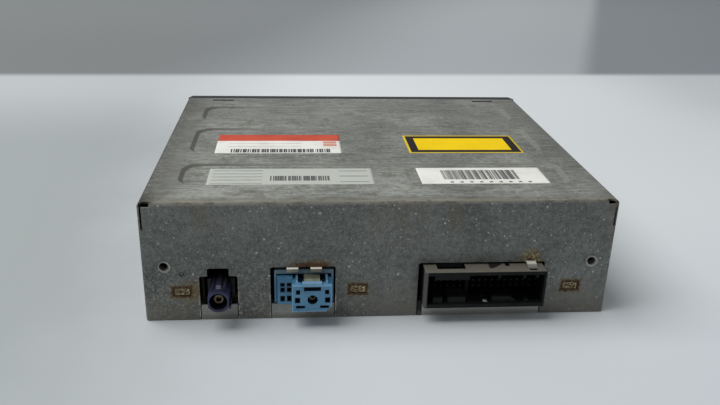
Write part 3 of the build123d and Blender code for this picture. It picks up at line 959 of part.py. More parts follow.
# Roller arm: folded sheet with two cheeks, pivoted on the drive pins
py, pz = ARM_PIVOT
ry, rz = ROLLER_AT
cheek = [(py - 4, pz - 3.2), (py + 4, pz - 3.2), (ry + 3, rz - 2.4)]
cheek += [(ry + 3, rz + 2.4), (ry - 2, rz + 2.6), (py - 4, pz + 3.2)]
wide = ARM_PLATE_X + SHEET
carrier = flat_yz(cheek, ARM_PLATE_X, wide) + flat_yz(cheek, -wide, -ARM_PLATE_X)
carrier += box(-wide, wide, py - 1.5, py + 5.5, pz + 2.7, pz + 2.7 + SHEET)
carrier -= plate_xy(13.6 - ARM_PLATE_X, -8, py + 0.2, py + 3.8, 1.5, pz + 2, pz + 4)
carrier -= plate_xy(8, ARM_PLATE_X - 13.6, py + 0.2, py + 3.8, 1.5, pz + 2, pz + 4)
for x in (-ARM_PLATE_X - 2.4, ARM_PLATE_X - 1.1):
    carrier -= cyl("X", x, py, pz, 1.5 + RUN, 4)
    carrier -= cyl("X", x, ry, rz, 1.2 + RUN, 4)
save("roller_arm", carrier)

shaft_left = -ARM_PLATE_X - 1.8
shaft = cyl("X", shaft_left, ry, rz, 1.2, BELT_X + 1.4 - shaft_left)
shaft += cyl("X", shaft_left, ry, rz, 1.8, 0.8)
shaft += cyl("X", ARM_PLATE_X + 1.0, ry, rz, 1.8, 0.8)
save("feed_shaft", shaft)

rubber = []
profile = Polygon((3.0, 0), (ROLLER_END_X, 0), (ROLLER_END_X, ROLLER_END_R - 0.6),
                  (ROLLER_END_X - 0.6, ROLLER_END_R),
                  (3.6, ROLLER_MID_R), (3.0, ROLLER_MID_R - 0.5), align=None)
for side in (-1, 1):
    half_roller = Pos(0, ry, rz) * revolve(Plane.XY * profile, Axis.X)
    half_roller = half_roller if side > 0 else mirror(half_roller, Plane.YZ)
    rubber.append(half_roller - cyl("X", -HALF, ry, rz, 1.2, WIDTH))
save("feed_rubber", group(rubber))

groove_cut = tube("X", BELT_X - 0.6, 0, 0, 5, PULLEY_R, 1.2)
wheel = cyl("X", BELT_X - 1.2, ry, rz, 4.2, 2.4) - Pos(0, ry, rz) * groove_cut
wheel -= cyl("X", ARM_PLATE_X, ry, rz, 1.2, 14)
save("feed_pulley", wheel)

centres = math.dist(ARM_PIVOT, ROLLER_AT)
belt_angle = math.degrees(math.atan2(rz - pz, ry - py))
middle_at = ((py + ry) / 2, (pz + rz) / 2)


def loop(radius, x, width):
    shape = Pos(*middle_at) * Rot(0, 0, belt_angle) * SlotCenterToCenter(centres, 2 * radius)
    return extrude(Plane.YZ.offset(x) * shape, amount=width)


belt = loop(PULLEY_R + RUN + 0.8, BELT_X - 0.5, 1.0) - loop(PULLEY_R + RUN, BELT_X - 1, 2)
save("feed_belt", belt)

# Loading gears on axes along X, with angles measured from +Y towards +Z
toward_pivot = math.degrees(math.atan2(pz - GEAR1[1], py - GEAR1[0]))
toward_motor = math.degrees(math.atan2(MOTOR_AT[1] - GEAR1[1], MOTOR_AT[0] - GEAR1[0]))


def gear_x(teeth, phase, x, at, width):
    return Pos(x, *at) * ALONG["X"] * gear(teeth, 90 + phase, width)


middle_gear = gear_x(BIG_T, toward_motor, ARM_PLATE_X + 1.7, GEAR1, 2.4)
middle_gear += gear_x(SMALL_T, toward_pivot, ARM_PLATE_X + 4.0, GEAR1, 2.9)
middle_gear -= cyl("X", ARM_PLATE_X, *GEAR1, 1.0 + RUN, 20)
save("load_gear", middle_gear)

pivot_gear = gear_x(PIVOT_T, meshed_phase(toward_pivot, PIVOT_T), ARM_PLATE_X + 4.5, ARM_PIVOT, 2.4)
pivot_gear += cyl("X", ARM_PLATE_X + 6.8, py, pz, 4.2, 2.8) - Pos(0, py, pz) * groove_cut
pivot_gear -= cyl("X", ARM_PLATE_X, py, pz, 1.5 + RUN, 20)
save("pivot_gear", pivot_gear)

load_pinion = gear_x(PINION_T, meshed_phase(toward_motor, PINION_T), ARM_PLATE_X + 1.6, MOTOR_AT, 2.6)
load_pinion += cyl("X", ARM_PLATE_X - 7.6, *MOTOR_AT, 0.75, 12)
save("load_pinion", load_pinion)

load_motor = cyl("X", MOTOR_X, my, mz, 6.0, 18.2)
load_motor &= box(MOTOR_X - 2, MOTOR_X + 20, my - 13, my + 13, mz - 5, mz + 5)
load_motor += cyl("X", MOTOR_X + 18.0, my, mz, 2.0, 0.9)
load_motor -= cyl("X", MOTOR_X + 11.5, my, mz, 0.75 + RUN, 10)
for y in (my - 3, my + 3):
    load_motor += box(MOTOR_X - 1.4, MOTOR_X + 0.2, y - 0.6, y + 0.6, mz - 1, mz + 1)
save("load_motor", load_motor)

# Screws of the front board, cradle, upper guide, traverse and servo board
small = [screw("Y", x, BOARD_FACE - 1.6, z, 0.85, 6.0, 1.9, 1.2, -1) for x, z in POST]
for side in (-1, 1):
    small += [screw("Z", side * EAR_SCREW_X, y, FLOOR_TOP, 1.2, 3.4, 2.4, 1.4) for y in EAR_Y]
small += [screw("Z", x, y, LID_Z + SHEET, 0.75, 4.2, 1.7, 0.25) for x, y in LID_SCREWS[2:]]
small += [screw("Z", x, y, TRAV_TOP, 1.0, 3.6, 1.9, 1.1) for x, y in LUGS]
small += [screw("Z", x, y, under, 0.85, 2.6, 1.8, 1.0, -1) for x, y in SERVO_SCREWS]
save("drive_screws", group(small))
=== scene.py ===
# %% [markdown]
# # A disc player for a car, dressed for its portrait
# The CAD model already holds every piece of the player at its real size. This lesson
# leaves those pieces where they are and gives them their finishes: tired zinc-plated
# sheet, moulded connectors, printed circuit boards and the small works of the disc
# drive. The few things that the CAD model leaves out, such as stickers, chip legs and
# wire, are made here as surfaces worked out with numpy.

# %% Load the frame
import math

import bmesh
import bpy
import numpy as np
from mathutils import Matrix, Vector


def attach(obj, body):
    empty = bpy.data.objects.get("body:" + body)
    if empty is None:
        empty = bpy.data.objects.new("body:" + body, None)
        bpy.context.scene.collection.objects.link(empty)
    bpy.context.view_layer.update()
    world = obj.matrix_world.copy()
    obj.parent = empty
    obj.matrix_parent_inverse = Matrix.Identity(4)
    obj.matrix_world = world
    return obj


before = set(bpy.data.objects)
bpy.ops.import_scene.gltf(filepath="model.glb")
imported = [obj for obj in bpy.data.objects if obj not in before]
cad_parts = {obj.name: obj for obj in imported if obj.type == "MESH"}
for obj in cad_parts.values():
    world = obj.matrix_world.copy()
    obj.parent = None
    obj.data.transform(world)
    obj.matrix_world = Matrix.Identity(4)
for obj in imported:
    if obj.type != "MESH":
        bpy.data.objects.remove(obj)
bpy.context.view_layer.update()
MM = 0.001
print("pieces from the CAD model:", len(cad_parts))

# %% [markdown]
# ## The camera
# The camera was worked out from the edges of the case in the photograph, so its place
# and its lens are numbers, not guesses. It looks slightly down at the connector panel
# from the left. A camera in Blender looks along its own minus Z, so the third column
# of its matrix is the reverse of the view direction.

# %% Camera
YAW, PITCH, ROLL = 0.0939983, 0.3895236, 0.0286697
CAMERA_PLACE = Vector((-33.39, -329.92, 153.88)) * MM
LENS = 37.80

ahead = Vector((math.sin(YAW) * math.cos(PITCH), math.cos(YAW) * math.cos(PITCH), -math.sin(PITCH)))
level = Vector((math.cos(YAW), -math.sin(YAW), 0.0))
above = level.cross(ahead)
right = level * math.cos(ROLL) + above * math.sin(ROLL)
up = above * math.cos(ROLL) - level * math.sin(ROLL)

camera = bpy.data.objects.new("camera", bpy.data.cameras.new("camera"))
camera.data.lens = LENS
camera.data.sensor_width = 36.0
camera.data.clip_start = 0.01
turn = Matrix((right, up, -ahead)).transposed().to_4x4()
camera.matrix_world = Matrix.Translation(CAMERA_PLACE) @ turn
bpy.context.scene.collection.objects.link(camera)
bpy.context.scene.camera = camera
print("camera looks along", [round(v, 3) for v in ahead])

# %% [markdown]
# ## Shader sums that read like sums
# A pattern is a sum of masks: one near a hole, one on the upper faces, one of fine
# grain. Placing Math nodes one by one hides that. Here a small class wraps an output
# socket, and adding or multiplying two of them makes the Math node for it.

# %% Wires
class Wire:
    """An output socket. Python's own operators on it make Math nodes."""

    def __init__(self, finish, socket):
        self.finish = finish
        self.socket = socket

    def math(self, operation, *values):
        """A Math node with this wire as its first input."""
        return self.finish.node("ShaderNodeMath", {"operation": operation}, [self, *values])

    def __add__(self, other):
        return self.math("ADD", other)

    def __mul__(self, other):
        return self.math("MULTIPLY", other)

    def __sub__(self, other):
        return self.math("SUBTRACT", other)

    def __rsub__(self, other):
        return self.finish.node("ShaderNodeMath", {"operation": "SUBTRACT"}, [other, self])

    def __abs__(self):
        return self.math("ABSOLUTE")

    __radd__ = __add__
    __rmul__ = __mul__

    def most(self, other):
        """The larger of the two; of two masks, what either covers."""
        return self.math("MAXIMUM", other)

    def least(self, other):
        """The smaller of the two; of two distances, the one to the nearer shape."""
        return self.math("MINIMUM", other)

    def fade(self, start, end):
        """0 at start, 1 at end, with a soft change between them, whichever is larger."""
        return self.finish.node("ShaderNodeMapRange", {"interpolation_type": "SMOOTHSTEP"},
                                {"Value": self, "From Min": start, "From Max": end})


# %% [markdown]
# A finish is one material. It keeps its Principled shader, and a single method makes
# any node from a type, its settings and its inputs. Constants go on the shader's own
# sockets. Places are read from Object coordinates in millimetres, so a pattern stays on
# its piece however the player moves.

# %% Finishes
class Finish:
    """A procedural material that is being made."""

    def __init__(self, name, **constants):
        self.material = bpy.data.materials.new(name)
        self.material.use_nodes = True
        self.tree = self.material.node_tree
        self.tree.nodes.clear()
        self.shader = self.tree.nodes.new("ShaderNodeBsdfPrincipled")
        output = self.tree.nodes.new("ShaderNodeOutputMaterial")
        self.tree.links.new(self.shader.outputs["BSDF"], output.inputs["Surface"])
        for socket, value in constants.items():
            self.shader.inputs[socket.replace("_", " ")].default_value = value
        here = self.node("ShaderNodeTexCoord", output="Object")
        self.place = self.stretch(here, 1 / MM, 1 / MM, 1 / MM)
        apart = self.node("ShaderNodeSeparateXYZ", {}, [self.place])
        nodes = apart.socket.node.outputs
        self.x, self.y, self.z = (Wire(self, nodes[n]) for n in range(3))

    def node(self, kind, settings=None, inputs=(), output=0):
        """Makes a node, sets it up, plugs in its inputs and returns one of its outputs."""
        made = self.tree.nodes.new(kind)
        for key, value in (settings or {}).items():
            setattr(made, key, value)
        pairs = inputs.items() if isinstance(inputs, dict) else enumerate(inputs)
        for key, value in pairs:
            self.plug(made.inputs[key], value)
        return Wire(self, made.outputs[output])

    def plug(self, socket, value):
        """Links a wire to the socket, or keeps a constant on it."""
        if isinstance(value, Wire):
            self.tree.links.new(value.socket, socket)
        else:
            socket.default_value = value

    def stretch(self, vector, x, y, z):
        """The vector with each of its parts scaled, to draw a pattern out along a line."""
        return self.node("ShaderNodeVectorMath", {"operation": "MULTIPLY"}, [vector, (x, y, z)])

    def noise(self, scale, detail=3.0, rough=0.55, vector=None):
        """Soft random pattern; scale is the number of spots in a millimetre."""
        inputs = {"Vector": vector or self.place, "Scale": scale}
        inputs |= {"Detail": detail, "Roughness": rough}
        return self.node("ShaderNodeTexNoise", {}, inputs)

    def dots(self, scale, radius, vector=None):
        """1 inside scattered round spots; scale is their number in a millimetre."""
        inputs = {"Vector": vector or self.place, "Scale": scale}
        distance = self.node("ShaderNodeTexVoronoi", {}, inputs)
        return distance.fade(radius * scale, radius * scale * 0.4)

    def mix(self, mask, low, high):
        """Colour low where the mask is 0 and colour high where it is 1."""
        return self.node("ShaderNodeMix", {"data_type": "RGBA"}, {0: mask, 6: low, 7: high}, 2)

    def round_y(self, x, z):
        """Distance from a line along y: the square root of the sum of the squares."""
        a, b = self.x - x, self.z - z
        return (a * a + b * b).math("SQRT")

    def frame_xz(self, x, z, half_x, half_z):
        """Distance outside a rectangle on the panel, negative inside it."""
        return (abs(self.x - x) - half_x).most(abs(self.z - z) - half_z)

    def frame_xy(self, x, y, half_x, half_y):
        """Distance outside a rectangle on the top, negative inside it."""
        return (abs(self.x - x) - half_x).most(abs(self.y - y) - half_y)

    def colour(self, value):
        """Keeps the colour as the skin and shows it."""
        self.skin = value
        self.plug(self.shader.inputs["Base Color"], value)

    def coat(self, mask, value):
        """Lays a colour over the skin where the mask is 1."""
        self.colour(self.mix(mask, self.skin, value))

    def rough(self, value):
        self.plug(self.shader.inputs["Roughness"], value)

    def metal(self, value):
        self.plug(self.shader.inputs["Metallic"], value)

    def bump(self, height, strength=0.3, depth=0.05):
        """Raises the surface by height times depth, in millimetres."""
        inputs = {"Height": height, "Strength": strength, "Distance": depth * MM}
        self.plug(self.shader.inputs["Normal"], self.node("ShaderNodeBump", {}, inputs))

    def tell(self):
        """Prints how far the material has grown."""
        print(self.material.name, "has", len(self.tree.nodes), "nodes")


def tone(red, green, blue):
    """A colour as a picture editor shows it, 0 to 255, turned into the light it stands for."""
    part = [v / 255 for v in (red, green, blue)]
    return (*[v / 12.92 if v < 0.04045 else ((v + 0.055) / 1.055) ** 2.4 for v in part], 1.0)


def dress(finish, *names):
    """Gives CAD pieces a finish. Their meshes stay as they are."""
    for name in names:
        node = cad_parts[name]
        node.data.materials.clear()
        node.data.materials.append(finish.material)
        undressed.discard(name)
    print(finish.material.name, "on", ", ".join(names))


undressed = set(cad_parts)

# %% [markdown]
# ## Nets of points
# Every new piece starts as a net: an array of points in rows and columns, each point
# worked out by a formula. Many nets of the same kind, such as all the legs of all the
# chips, are stacked in one array and joined in one step. Where a row shrinks to a point
# or a line, the doubled points are merged, which closes the end.

# %% Nets
def net_mesh(name, points):
    """Quads between neighbours in an array shaped nets, rows, columns, 3, in millimetres.
    The last column is joined to the first, so every row is a ring."""
    points = points.reshape(-1, *points.shape[-3:])
    count, rows, columns = points.shape[:3]
    number = np.arange(count * rows * columns).reshape(count, rows, columns)
    number = np.concatenate([number, number[:, :, :1]], 2)
    corners = [number[:, :-1, :-1], number[:, :-1, 1:], number[:, 1:, 1:], number[:, 1:, :-1]]
    faces = np.stack(corners, -1).reshape(-1, 4)
    mesh = bpy.data.meshes.new(name)
    mesh.from_pydata((points.reshape(-1, 3) * MM).tolist(), [], faces.tolist())
    work = bmesh.new()
    work.from_mesh(mesh)
    bmesh.ops.remove_doubles(work, verts=work.verts, dist=1e-7)
    bmesh.ops.dissolve_degenerate(work, edges=work.edges, dist=1e-8)
    bmesh.ops.recalc_face_normals(work, faces=work.faces)
    work.to_mesh(mesh)
    work.free()
    return mesh


def piece(mesh, finish, body, smooth=True):
    """Makes the mesh a piece of the object that rides on a body."""
    mesh.materials.append(finish.material)
    mesh.polygons.foreach_set("use_smooth", np.full(len(mesh.polygons), smooth))
    made = bpy.data.objects.new(mesh.name, mesh)
    bpy.context.scene.collection.objects.link(made)
    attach(made, body)
    print(mesh.name, len(mesh.polygons), "faces")


# %% [markdown]
# ## The floor
# The player stands on a pale table, and a greyer backdrop begins behind it. Both
# are one flat sheet, a stage piece and not part of the object. A standing wall would
# hide the player from a camera that looks from the far side, so the backdrop is a
# second tone of the same sheet, beyond a seam. The seam runs a little askew, because
# the player does not stand square to the table. Light and shade are painted into both
# tones: painted shade on the left and at the far right, painted light towards the
# seam, and a slanting painted patch of light on the backdrop.

# %% Floor
# The half width of the sheet is in metres, Blender's own unit, and the seam in millimetres.
FLOOR_HALF = 3.0
SEAM_Y, SEAM_SLOPE = 345.5, 0.033


def stage_sheet(name, corners, finish):
    """A flat four-cornered sheet."""
    mesh = bpy.data.meshes.new(name)
    mesh.from_pydata([Vector(c) for c in corners], [], [(0, 1, 2, 3)])
    mesh.materials.append(finish.material)
    made = bpy.data.objects.new(name, mesh)
    bpy.context.scene.collection.objects.link(made)


table = Finish("table_top", Roughness=0.55, Specular_IOR_Level=0.3)
table_haze = table.noise(0.01, 4.0, 0.6) * 70.0 - 35.0
# Painted light and shade on the table: darker to the left, brighter towards the seam.
painted_light_near_tone = table.mix(table.y.fade(-170.0, 60.0), tone(198, 204, 207), tone(214, 218, 220))
table.colour(table.mix((table.x + table_haze).fade(-165.0, 0.0), tone(159, 165, 165), painted_light_near_tone))
table.coat(table.y.fade(130.0, 320.0) * 0.34, tone(232, 235, 236))
# Painted shade at the far right of the table.
painted_shade_far_right = table.y.fade(120.0, 270.0) * table.x.fade(210.0, 340.0)
table.coat(painted_shade_far_right * 0.31, tone(154, 161, 161))

# The backdrop's tones are painted light: darker to the left, a slanting painted patch of light, and
# a painted glow further away.
backdrop = table.mix(table.x.fade(-300.0, 400.0), tone(124, 127, 127), tone(138, 143, 148))
slant = table.x - table.y * 0.4
patch = slant.fade(-330.0, -20.0) * slant.fade(112.0, 84.0)
backdrop = table.mix(patch * 0.9, backdrop, tone(176, 180, 183))
far_glow = table.y.fade(345.0, 900.0) * (0.16 + patch * 0.36)
backdrop = table.mix(far_glow, backdrop, tone(214, 218, 220))
beyond = (table.y - table.x * SEAM_SLOPE).fade(SEAM_Y - 8.0, SEAM_Y + 12.0)
table.coat(beyond, backdrop)
floor_corners = [(x * FLOOR_HALF, y * FLOOR_HALF, 0)
                 for x, y in ((-1, -1), (1, -1), (1, 1), (-1, 1))]
stage_sheet("floor", floor_corners, table)
table.tell()

# %% [markdown]
# ## The light
# The light is a broad soft lamp overhead, a little to the left and behind the connector
# panel, so the top is bright, the panel stands in half shade, its openings are dark and
# the shadow falls on the right. A weak lamp in front and a pale sky fill the shade.

# %% Lamps
SKY_TONE, SKY_STRENGTH = (0.93, 0.97, 1.0, 1.0), 0.32


def lamp(name, place, size, power):
    """A soft square lamp, in metres and watts, that looks at the origin."""
    data = bpy.data.lights.new(name, "AREA")
    data.shape = "SQUARE"
    data.size = size
    data.energy = power
    made = bpy.data.objects.new(name, data)
    made.location = place
    made.rotation_euler = (-Vector(place)).to_track_quat("-Z", "Y").to_euler()
    bpy.context.scene.collection.objects.link(made)
    print(name, "of", power, "watts")


lamp("key_lamp", (-0.66, 0.03, 1.28), 1.1, 20.0)
lamp("front_lamp", (0.2, -1.3, 1.0), 1.2, 0.6)

world = bpy.data.worlds.new("studio")
world.use_nodes = True
sky = world.node_tree.nodes["Background"].inputs
sky["Color"].default_value = SKY_TONE
sky["Strength"].default_value = SKY_STRENGTH
bpy.context.scene.world = world
bpy.context.scene.view_settings.view_transform = "Standard"

# %% [markdown]
# ## Old zinc-plated sheet
# The cover is one folded sheet of plated steel, and one material covers all of it. Masks
# on the place of each point tell it where it is. The parts of the pattern come first:
# brushing drawn out from side to side, clouds, blotches and fine grain.

# %% Cover patterns
# Places in millimetres: panel, top and sunken fields, staked tabs, holes, slots, spring.
PANEL_Y = -74.0
TOP_Z, FIELD_Z = 48.1, 47.1
STAKES, STAKE_Z = (-75.8, -9.1, 74.9), 12.3
HOLE_X, HOLE_Z = 82.0, 22.9
SLOT_X, SLOT_Y = 70.9, 72.8
SPRING_X = 57.8

cover = Finish("cover_steel", Specular_IOR_Level=0.5)
on_panel = cover.y.fade(PANEL_Y + 1.0, PANEL_Y + 0.3) * cover.z.fade(TOP_Z - 0.05, 47.3)
brushing = cover.noise(1.0, 4.0, 0.65, cover.stretch(cover.place, 0.07, 2.6, 1.0))
clouds = cover.noise(0.03, 5.0, 0.6)
blotches = cover.noise(0.12, 6.0, 0.7)
mottle = cover.noise(0.55, 4.0, 0.65)
fine = cover.noise(2.4, 3.0, 0.6)
cover.tell()

# %% [markdown]
# The top is pale and finely brushed, with grey stains. It is darker along the left edge
# and towards the far side, and brown dirt has settled behind the fold. The pressed
# slopes of the three fields are dull and carry painted shade, deepest at the left. Two
# slots at the far end have dark rims, and the bends down to the sides carry painted
# shade with some grime.

# %% Top of the cover
brushed = brushing * 0.9 + clouds * 0.7 + mottle * 0.5 + fine * 0.3 - 0.75
cover.colour(cover.mix(brushed.fade(0.2, 0.8), tone(104, 105, 99), tone(188, 190, 183)))
smears = cover.noise(0.3, 5.0, 0.75, cover.stretch(cover.place, 0.22, 1.5, 1.0)).fade(0.5, 0.64)
cover.coat(smears * 0.5, tone(88, 87, 80))
stains = (blotches + clouds * 0.5).fade(0.76, 0.96)
cover.coat(stains * 0.6, tone(92, 88, 76))
chips = cover.noise(1.3, 4.0, 0.7).fade(0.6, 0.68)
cover.coat(chips * 0.4, tone(196, 197, 190))
far_side = cover.y.fade(0.0, 80.0) * 0.3
cover.coat(far_side, tone(118, 119, 115))
left_shade = (cover.x + blotches * 12.0).fade(-64.0, -84.0) * 0.75
edge_shade = left_shade.most(cover.x.fade(74.0, 90.0) * 0.35)
cover.coat(edge_shade * mottle.fade(0.3, 0.6), tone(76, 75, 68))
slope = cover.z.fade(TOP_Z - 0.04, TOP_Z - 0.2) * cover.z.fade(FIELD_Z, FIELD_Z + 0.2)
slope = slope * abs(cover.x).fade(86.0, 85.0)
# Painted shade on the pressed slopes, darkest at the left.
slope_shade_tone = cover.mix(cover.x.fade(-72.0, -40.0), tone(64, 64, 58), tone(112, 112, 106))
cover.coat(slope * (0.5 + mottle * 0.5), slope_shade_tone)
near_fold = (cover.y + blotches * 16.0).fade(-58.0, -65.0)
cover.coat(near_fold * mottle.fade(0.3, 0.6) * 0.85, tone(96, 89, 74))
fold_band = cover.y.fade(PANEL_Y + 4.6, PANEL_Y + 2.8) * mottle.fade(0.3, 0.6)
cover.coat(fold_band * 0.55, tone(158, 153, 136))
bend = cover.y.fade(PANEL_Y + 1.9, PANEL_Y + 1.1)
cover.coat(bend * (0.5 + mottle * 0.8), tone(92, 91, 85))
corner_dirt = (cover.x * -1.0 - cover.y * 0.5 + blotches * 24.0).fade(128.0, 138.0)
cover.coat(corner_dirt * 0.85, tone(52, 48, 40))
spots = (cover.y + mottle * 6.0).fade(-68.6, -70.4) * blotches.fade(0.5, 0.6)
cover.coat(spots * 0.8, tone(64, 58, 46))
slot_rim = (abs(abs(cover.x) - SLOT_X) - 5.6).most(abs(cover.y - SLOT_Y) - 1.3)
cover.coat(slot_rim.fade(0.4, -0.2) * 0.9, tone(40, 40, 38))
# Painted shade along the bends down to the sides, with some grime.
side_bend_shade = abs(cover.x).fade(88.7, 89.6) * cover.z.fade(45.0, 47.0)
cover.coat(side_bend_shade * (0.3 + mottle * 0.7), tone(60, 62, 62))
cover.tell()

# %% [markdown]
# The connector panel is painted darker than the top, though it is the same sheet: that
# is painted shade. It is peppered with white specks of zinc oxide, more of them low down
# and on the left. Two or three broad brown stains have run down it. A pale ring is
# painted round each of the two holes, and a small dimple with a dark rim lies beside the
# left one.

# %% Panel of the cover
grain = fine * 0.7 + mottle * 0.7 + clouds * 0.7 - 0.55
top_tone = cover.skin
# The panel's own tones, darker than the top's, are painted shade.
cover.colour(cover.mix(grain.fade(0.25, 0.8), tone(84, 86, 83), tone(128, 131, 127)))
runs = cover.noise(0.05, 3.0, 0.6, cover.stretch(cover.place, 1.0, 1.0, 0.35)).fade(0.52, 0.68)
cover.coat(runs * cover.z.fade(18.0, 44.0) * 0.5, tone(104, 94, 80))
dust = cover.noise(1.7, 2.0, 0.5).fade(0.60, 0.72)
cover.coat(dust * 0.6, tone(170, 173, 169))
crowd = cover.noise(0.09, 3.0, 0.6)
specks = (cover.dots(0.42, 0.42) * crowd.fade(0.40, 0.58)).most(cover.dots(0.16, 0.62))
cover.coat(specks * 0.75, tone(196, 199, 195))
low_left = cover.z.fade(34.0, 6.0) * cover.x.fade(10.0, -50.0)
pitted = cover.noise(1.1, 5.0, 0.75)
cover.coat(pitted.fade(0.53, 0.62) * low_left * 0.6, tone(172, 171, 162))
cover.coat(pitted.fade(0.45, 0.36) * low_left * 0.6, tone(62, 60, 54))
grime = cover.z.fade(20.0, 1.0) * clouds.fade(0.3, 0.55) * 0.6
cover.coat(grime, tone(112, 107, 97))
hole_rings = [cover.round_y(x + 0.35, HOLE_Z) for x in (-HOLE_X, HOLE_X)]
ring = hole_rings[0].least(hole_rings[1])
bright_ring = ring.fade(2.5, 2.1) * ring.fade(1.5, 1.7)
cover.coat(bright_ring * 0.65, tone(176, 176, 168))
dimple = cover.round_y(-75.6, 19.8)
dimple_rim = abs(dimple - 0.7).fade(0.4, 0.1)
cover.coat(dimple_rim * 0.8, tone(50, 52, 50))
cover.tell()

# %% [markdown]
# Where the notches were punched out, the cut edge of the sheet is bare and catches the
# light. It shows as a fine pale line down both sides of a notch.

# %% Cut edges
NOTCH_SIDES = (-69.3, -54.9, -42.6, -17.8)
cut_line = abs(cover.x - NOTCH_SIDES[0])
for side_x in NOTCH_SIDES[1:]:
    cut_line = cut_line.least(abs(cover.x - side_x))
cut_line = cut_line.fade(0.5, 0.15) * cover.z.fade(19.0, 12.0) * mottle.fade(0.35, 0.6)
cover.coat(cut_line * 0.8, tone(190, 182, 168))
cover.tell()

# %% [markdown]
# Rust has crept out from the cut edges. Each rust mark is a distance, from a staked
# window or from an edge of a notch, made ragged with noise and cut at two levels: a dark
# crust close to the edge, and a paler ochre halo round it. Above the light blue
# connector the crust is redder, as fresh rust is.

# %% Rust
ragged = cover.noise(0.9, 5.0, 0.75) * 5.0 - 2.5
windows = [cover.frame_xz(x, STAKE_Z, 3.1, 1.65) for x in STAKES]
near_window = windows[0].least(windows[1]).least(windows[2])
left_spread = (cover.round_y(-71.6, 12.2) + ragged * 2.0).fade(6.6, 1.6)
video_edge = (abs(cover.x + 29.0) - 6.5).most(cover.z - 22.2)
video_run = (video_edge + ragged).fade(3.6, 0.6) * (0.45 + cover.x.fade(-34.0, -27.0) * 0.55)
spring_fan = (cover.round_y(SPRING_X, 23.8) + ragged * 2.2).fade(6.0, 1.6)
spring_fan = spring_fan * cover.z.fade(22.8, 23.3)
halo = (near_window + ragged).fade(1.9, 0.3).most(left_spread * 0.85)
halo = halo.most(video_run).most(spring_fan)
crust = (near_window + ragged * 0.6).fade(1.3, 0.4).most(near_window.fade(0.6, 0.1))
crust = crust.most((video_edge + ragged * 0.6).fade(2.6, 0.8) * cover.x.fade(-37.0, -30.0))
crust = crust.most((cover.round_y(SPRING_X, 23.0) + ragged).fade(2.6, 1.0))
halo, crust = halo * on_panel, crust * on_panel
ochre = cover.mix(pitted.fade(0.35, 0.65), tone(92, 78, 42), tone(142, 120, 70))
umber = cover.mix(pitted.fade(0.38, 0.62), tone(26, 18, 9), tone(84, 56, 26))
fresh_rust = cover.round_y(-27.5, 22.8).fade(9.0, 6.0) * cover.z.fade(20.0, 21.0)
umber = cover.mix(fresh_rust * pitted.fade(0.3, 0.6), umber, tone(94, 54, 30))
flecks = pitted.fade(0.56, 0.6) * spring_fan * on_panel
cover.tell()

# %% [markdown]
# Now the layers go on one another: the top or the panel, the ochre halo, the dark crust
# and a few pale flecks. Dirt and rust aren't metal, so they lower Metallic and raise
# Roughness. The fine patterns and the rust raise the surface a few hundredths of a
# millimetre.

# %% Cover steel
cover.colour(cover.mix(on_panel, top_tone, cover.skin))
cover.coat(halo * 0.8, ochre)
cover.coat(crust * 0.9, umber)
cover.coat(flecks * 0.8, tone(206, 194, 150))
dull = (slope.most(bend) * (1.0 - on_panel)).most(halo)
cover.metal(0.5 - dull * 0.45)
cover.rough(0.40 + fine * 0.16 + blotches * 0.12 + dull * 0.3)
relief = brushing * (1.0 - on_panel) * 0.8 + fine * 0.4 + mottle * 0.7
relief = relief + specks * 0.8 + pitted * halo * 3.0 - dimple.fade(1.0, 0.3) * 4.0
cover.bump(relief, 0.4, 0.06)
dress(cover, "top_cover")

# %% [markdown]
# The tray is the same sheet, with less wear. Its tabs show through the panel: the three
# staked ones have lost their plating and are brown with bright scars of the punch, and
# the three that close the notches are dirty along their lower edge. The gap between the
# last of these and the long connector lets no light in, and a black strip stands for it.

# %% Tray steel
tray = Finish("tray_steel", Specular_IOR_Level=0.5)
tray_cloud = tray.noise(0.06, 5.0, 0.6)
tray_fine = tray.noise(1.8, 4.0, 0.65)
tray_brush = tray.noise(1.0, 3.0, 0.6, tray.stretch(tray.place, 0.1, 4.0, 1.0))
tray_grain = (tray_cloud + tray_fine * 0.6).fade(0.6, 1.0)
tray.colour(tray.mix(tray_grain, tone(112, 115, 112), tone(148, 151, 147)))
tray.coat(tray_brush.fade(0.35, 0.75) * 0.35, tone(104, 106, 102))
outside = tray.y.fade(PANEL_Y + 1.6, PANEL_Y + 1.0)
tab_grain = (tray_cloud + tray_fine).fade(0.8, 1.2)
tab_tone = tray.mix(tab_grain, tone(122, 122, 117), tone(162, 162, 156))
tab_tone = tray.mix(tray.x.fade(5.0, 14.0) * 0.7, tab_tone, tone(188, 187, 182))
tray.coat(outside, tab_tone)
beside = outside * abs(tray.x - 15.3).fade(1.2, 0.9)
tray.coat(beside * 0.98, tone(6, 6, 6))
tab_dirt = outside * tray.z.fade(3.0, 1.0) * tray_fine.fade(0.35, 0.55)
tray.coat(tab_dirt * 0.6, tone(100, 96, 86))
staked = outside * tray.z.fade(9.4, 9.8)
punched = tray.noise(0.5, 2.0, 0.6, tray.stretch(tray.place, 1.0, 1.0, 2.2))
scars = abs(punched - 0.5).fade(0.04, 0.012)
stake_tone = tray.mix(tray_fine.fade(0.4, 0.6), tone(48, 34, 18), tone(120, 92, 50))
stake_tone = tray.mix(scars * 0.9, stake_tone, tone(206, 196, 164))
tray.coat(staked, stake_tone)
tray.metal((0.5 - staked * 0.2) * (1.0 - beside))
tray.rough(0.42 + tray_fine * 0.16 + beside * 0.4)
tray.bump(tray_fine + tray_cloud + staked * scars * 3.0, 0.35, 0.06)
dress(tray, "bottom_chassis")

# %% [markdown]
# ## Stickers
# Four stickers lie in the flat sunken fields of the cover. A sticker is a thin sheet
# with square corners, so its surface is a net laid a tenth of a millimetre above the
# steel, which bulges a little where air is trapped. The net runs over the top and back
# underneath, and its two end rows shrink to a line, so the sheet is closed all round.

# %% Sticker surface
STICKER_THICK = 0.12


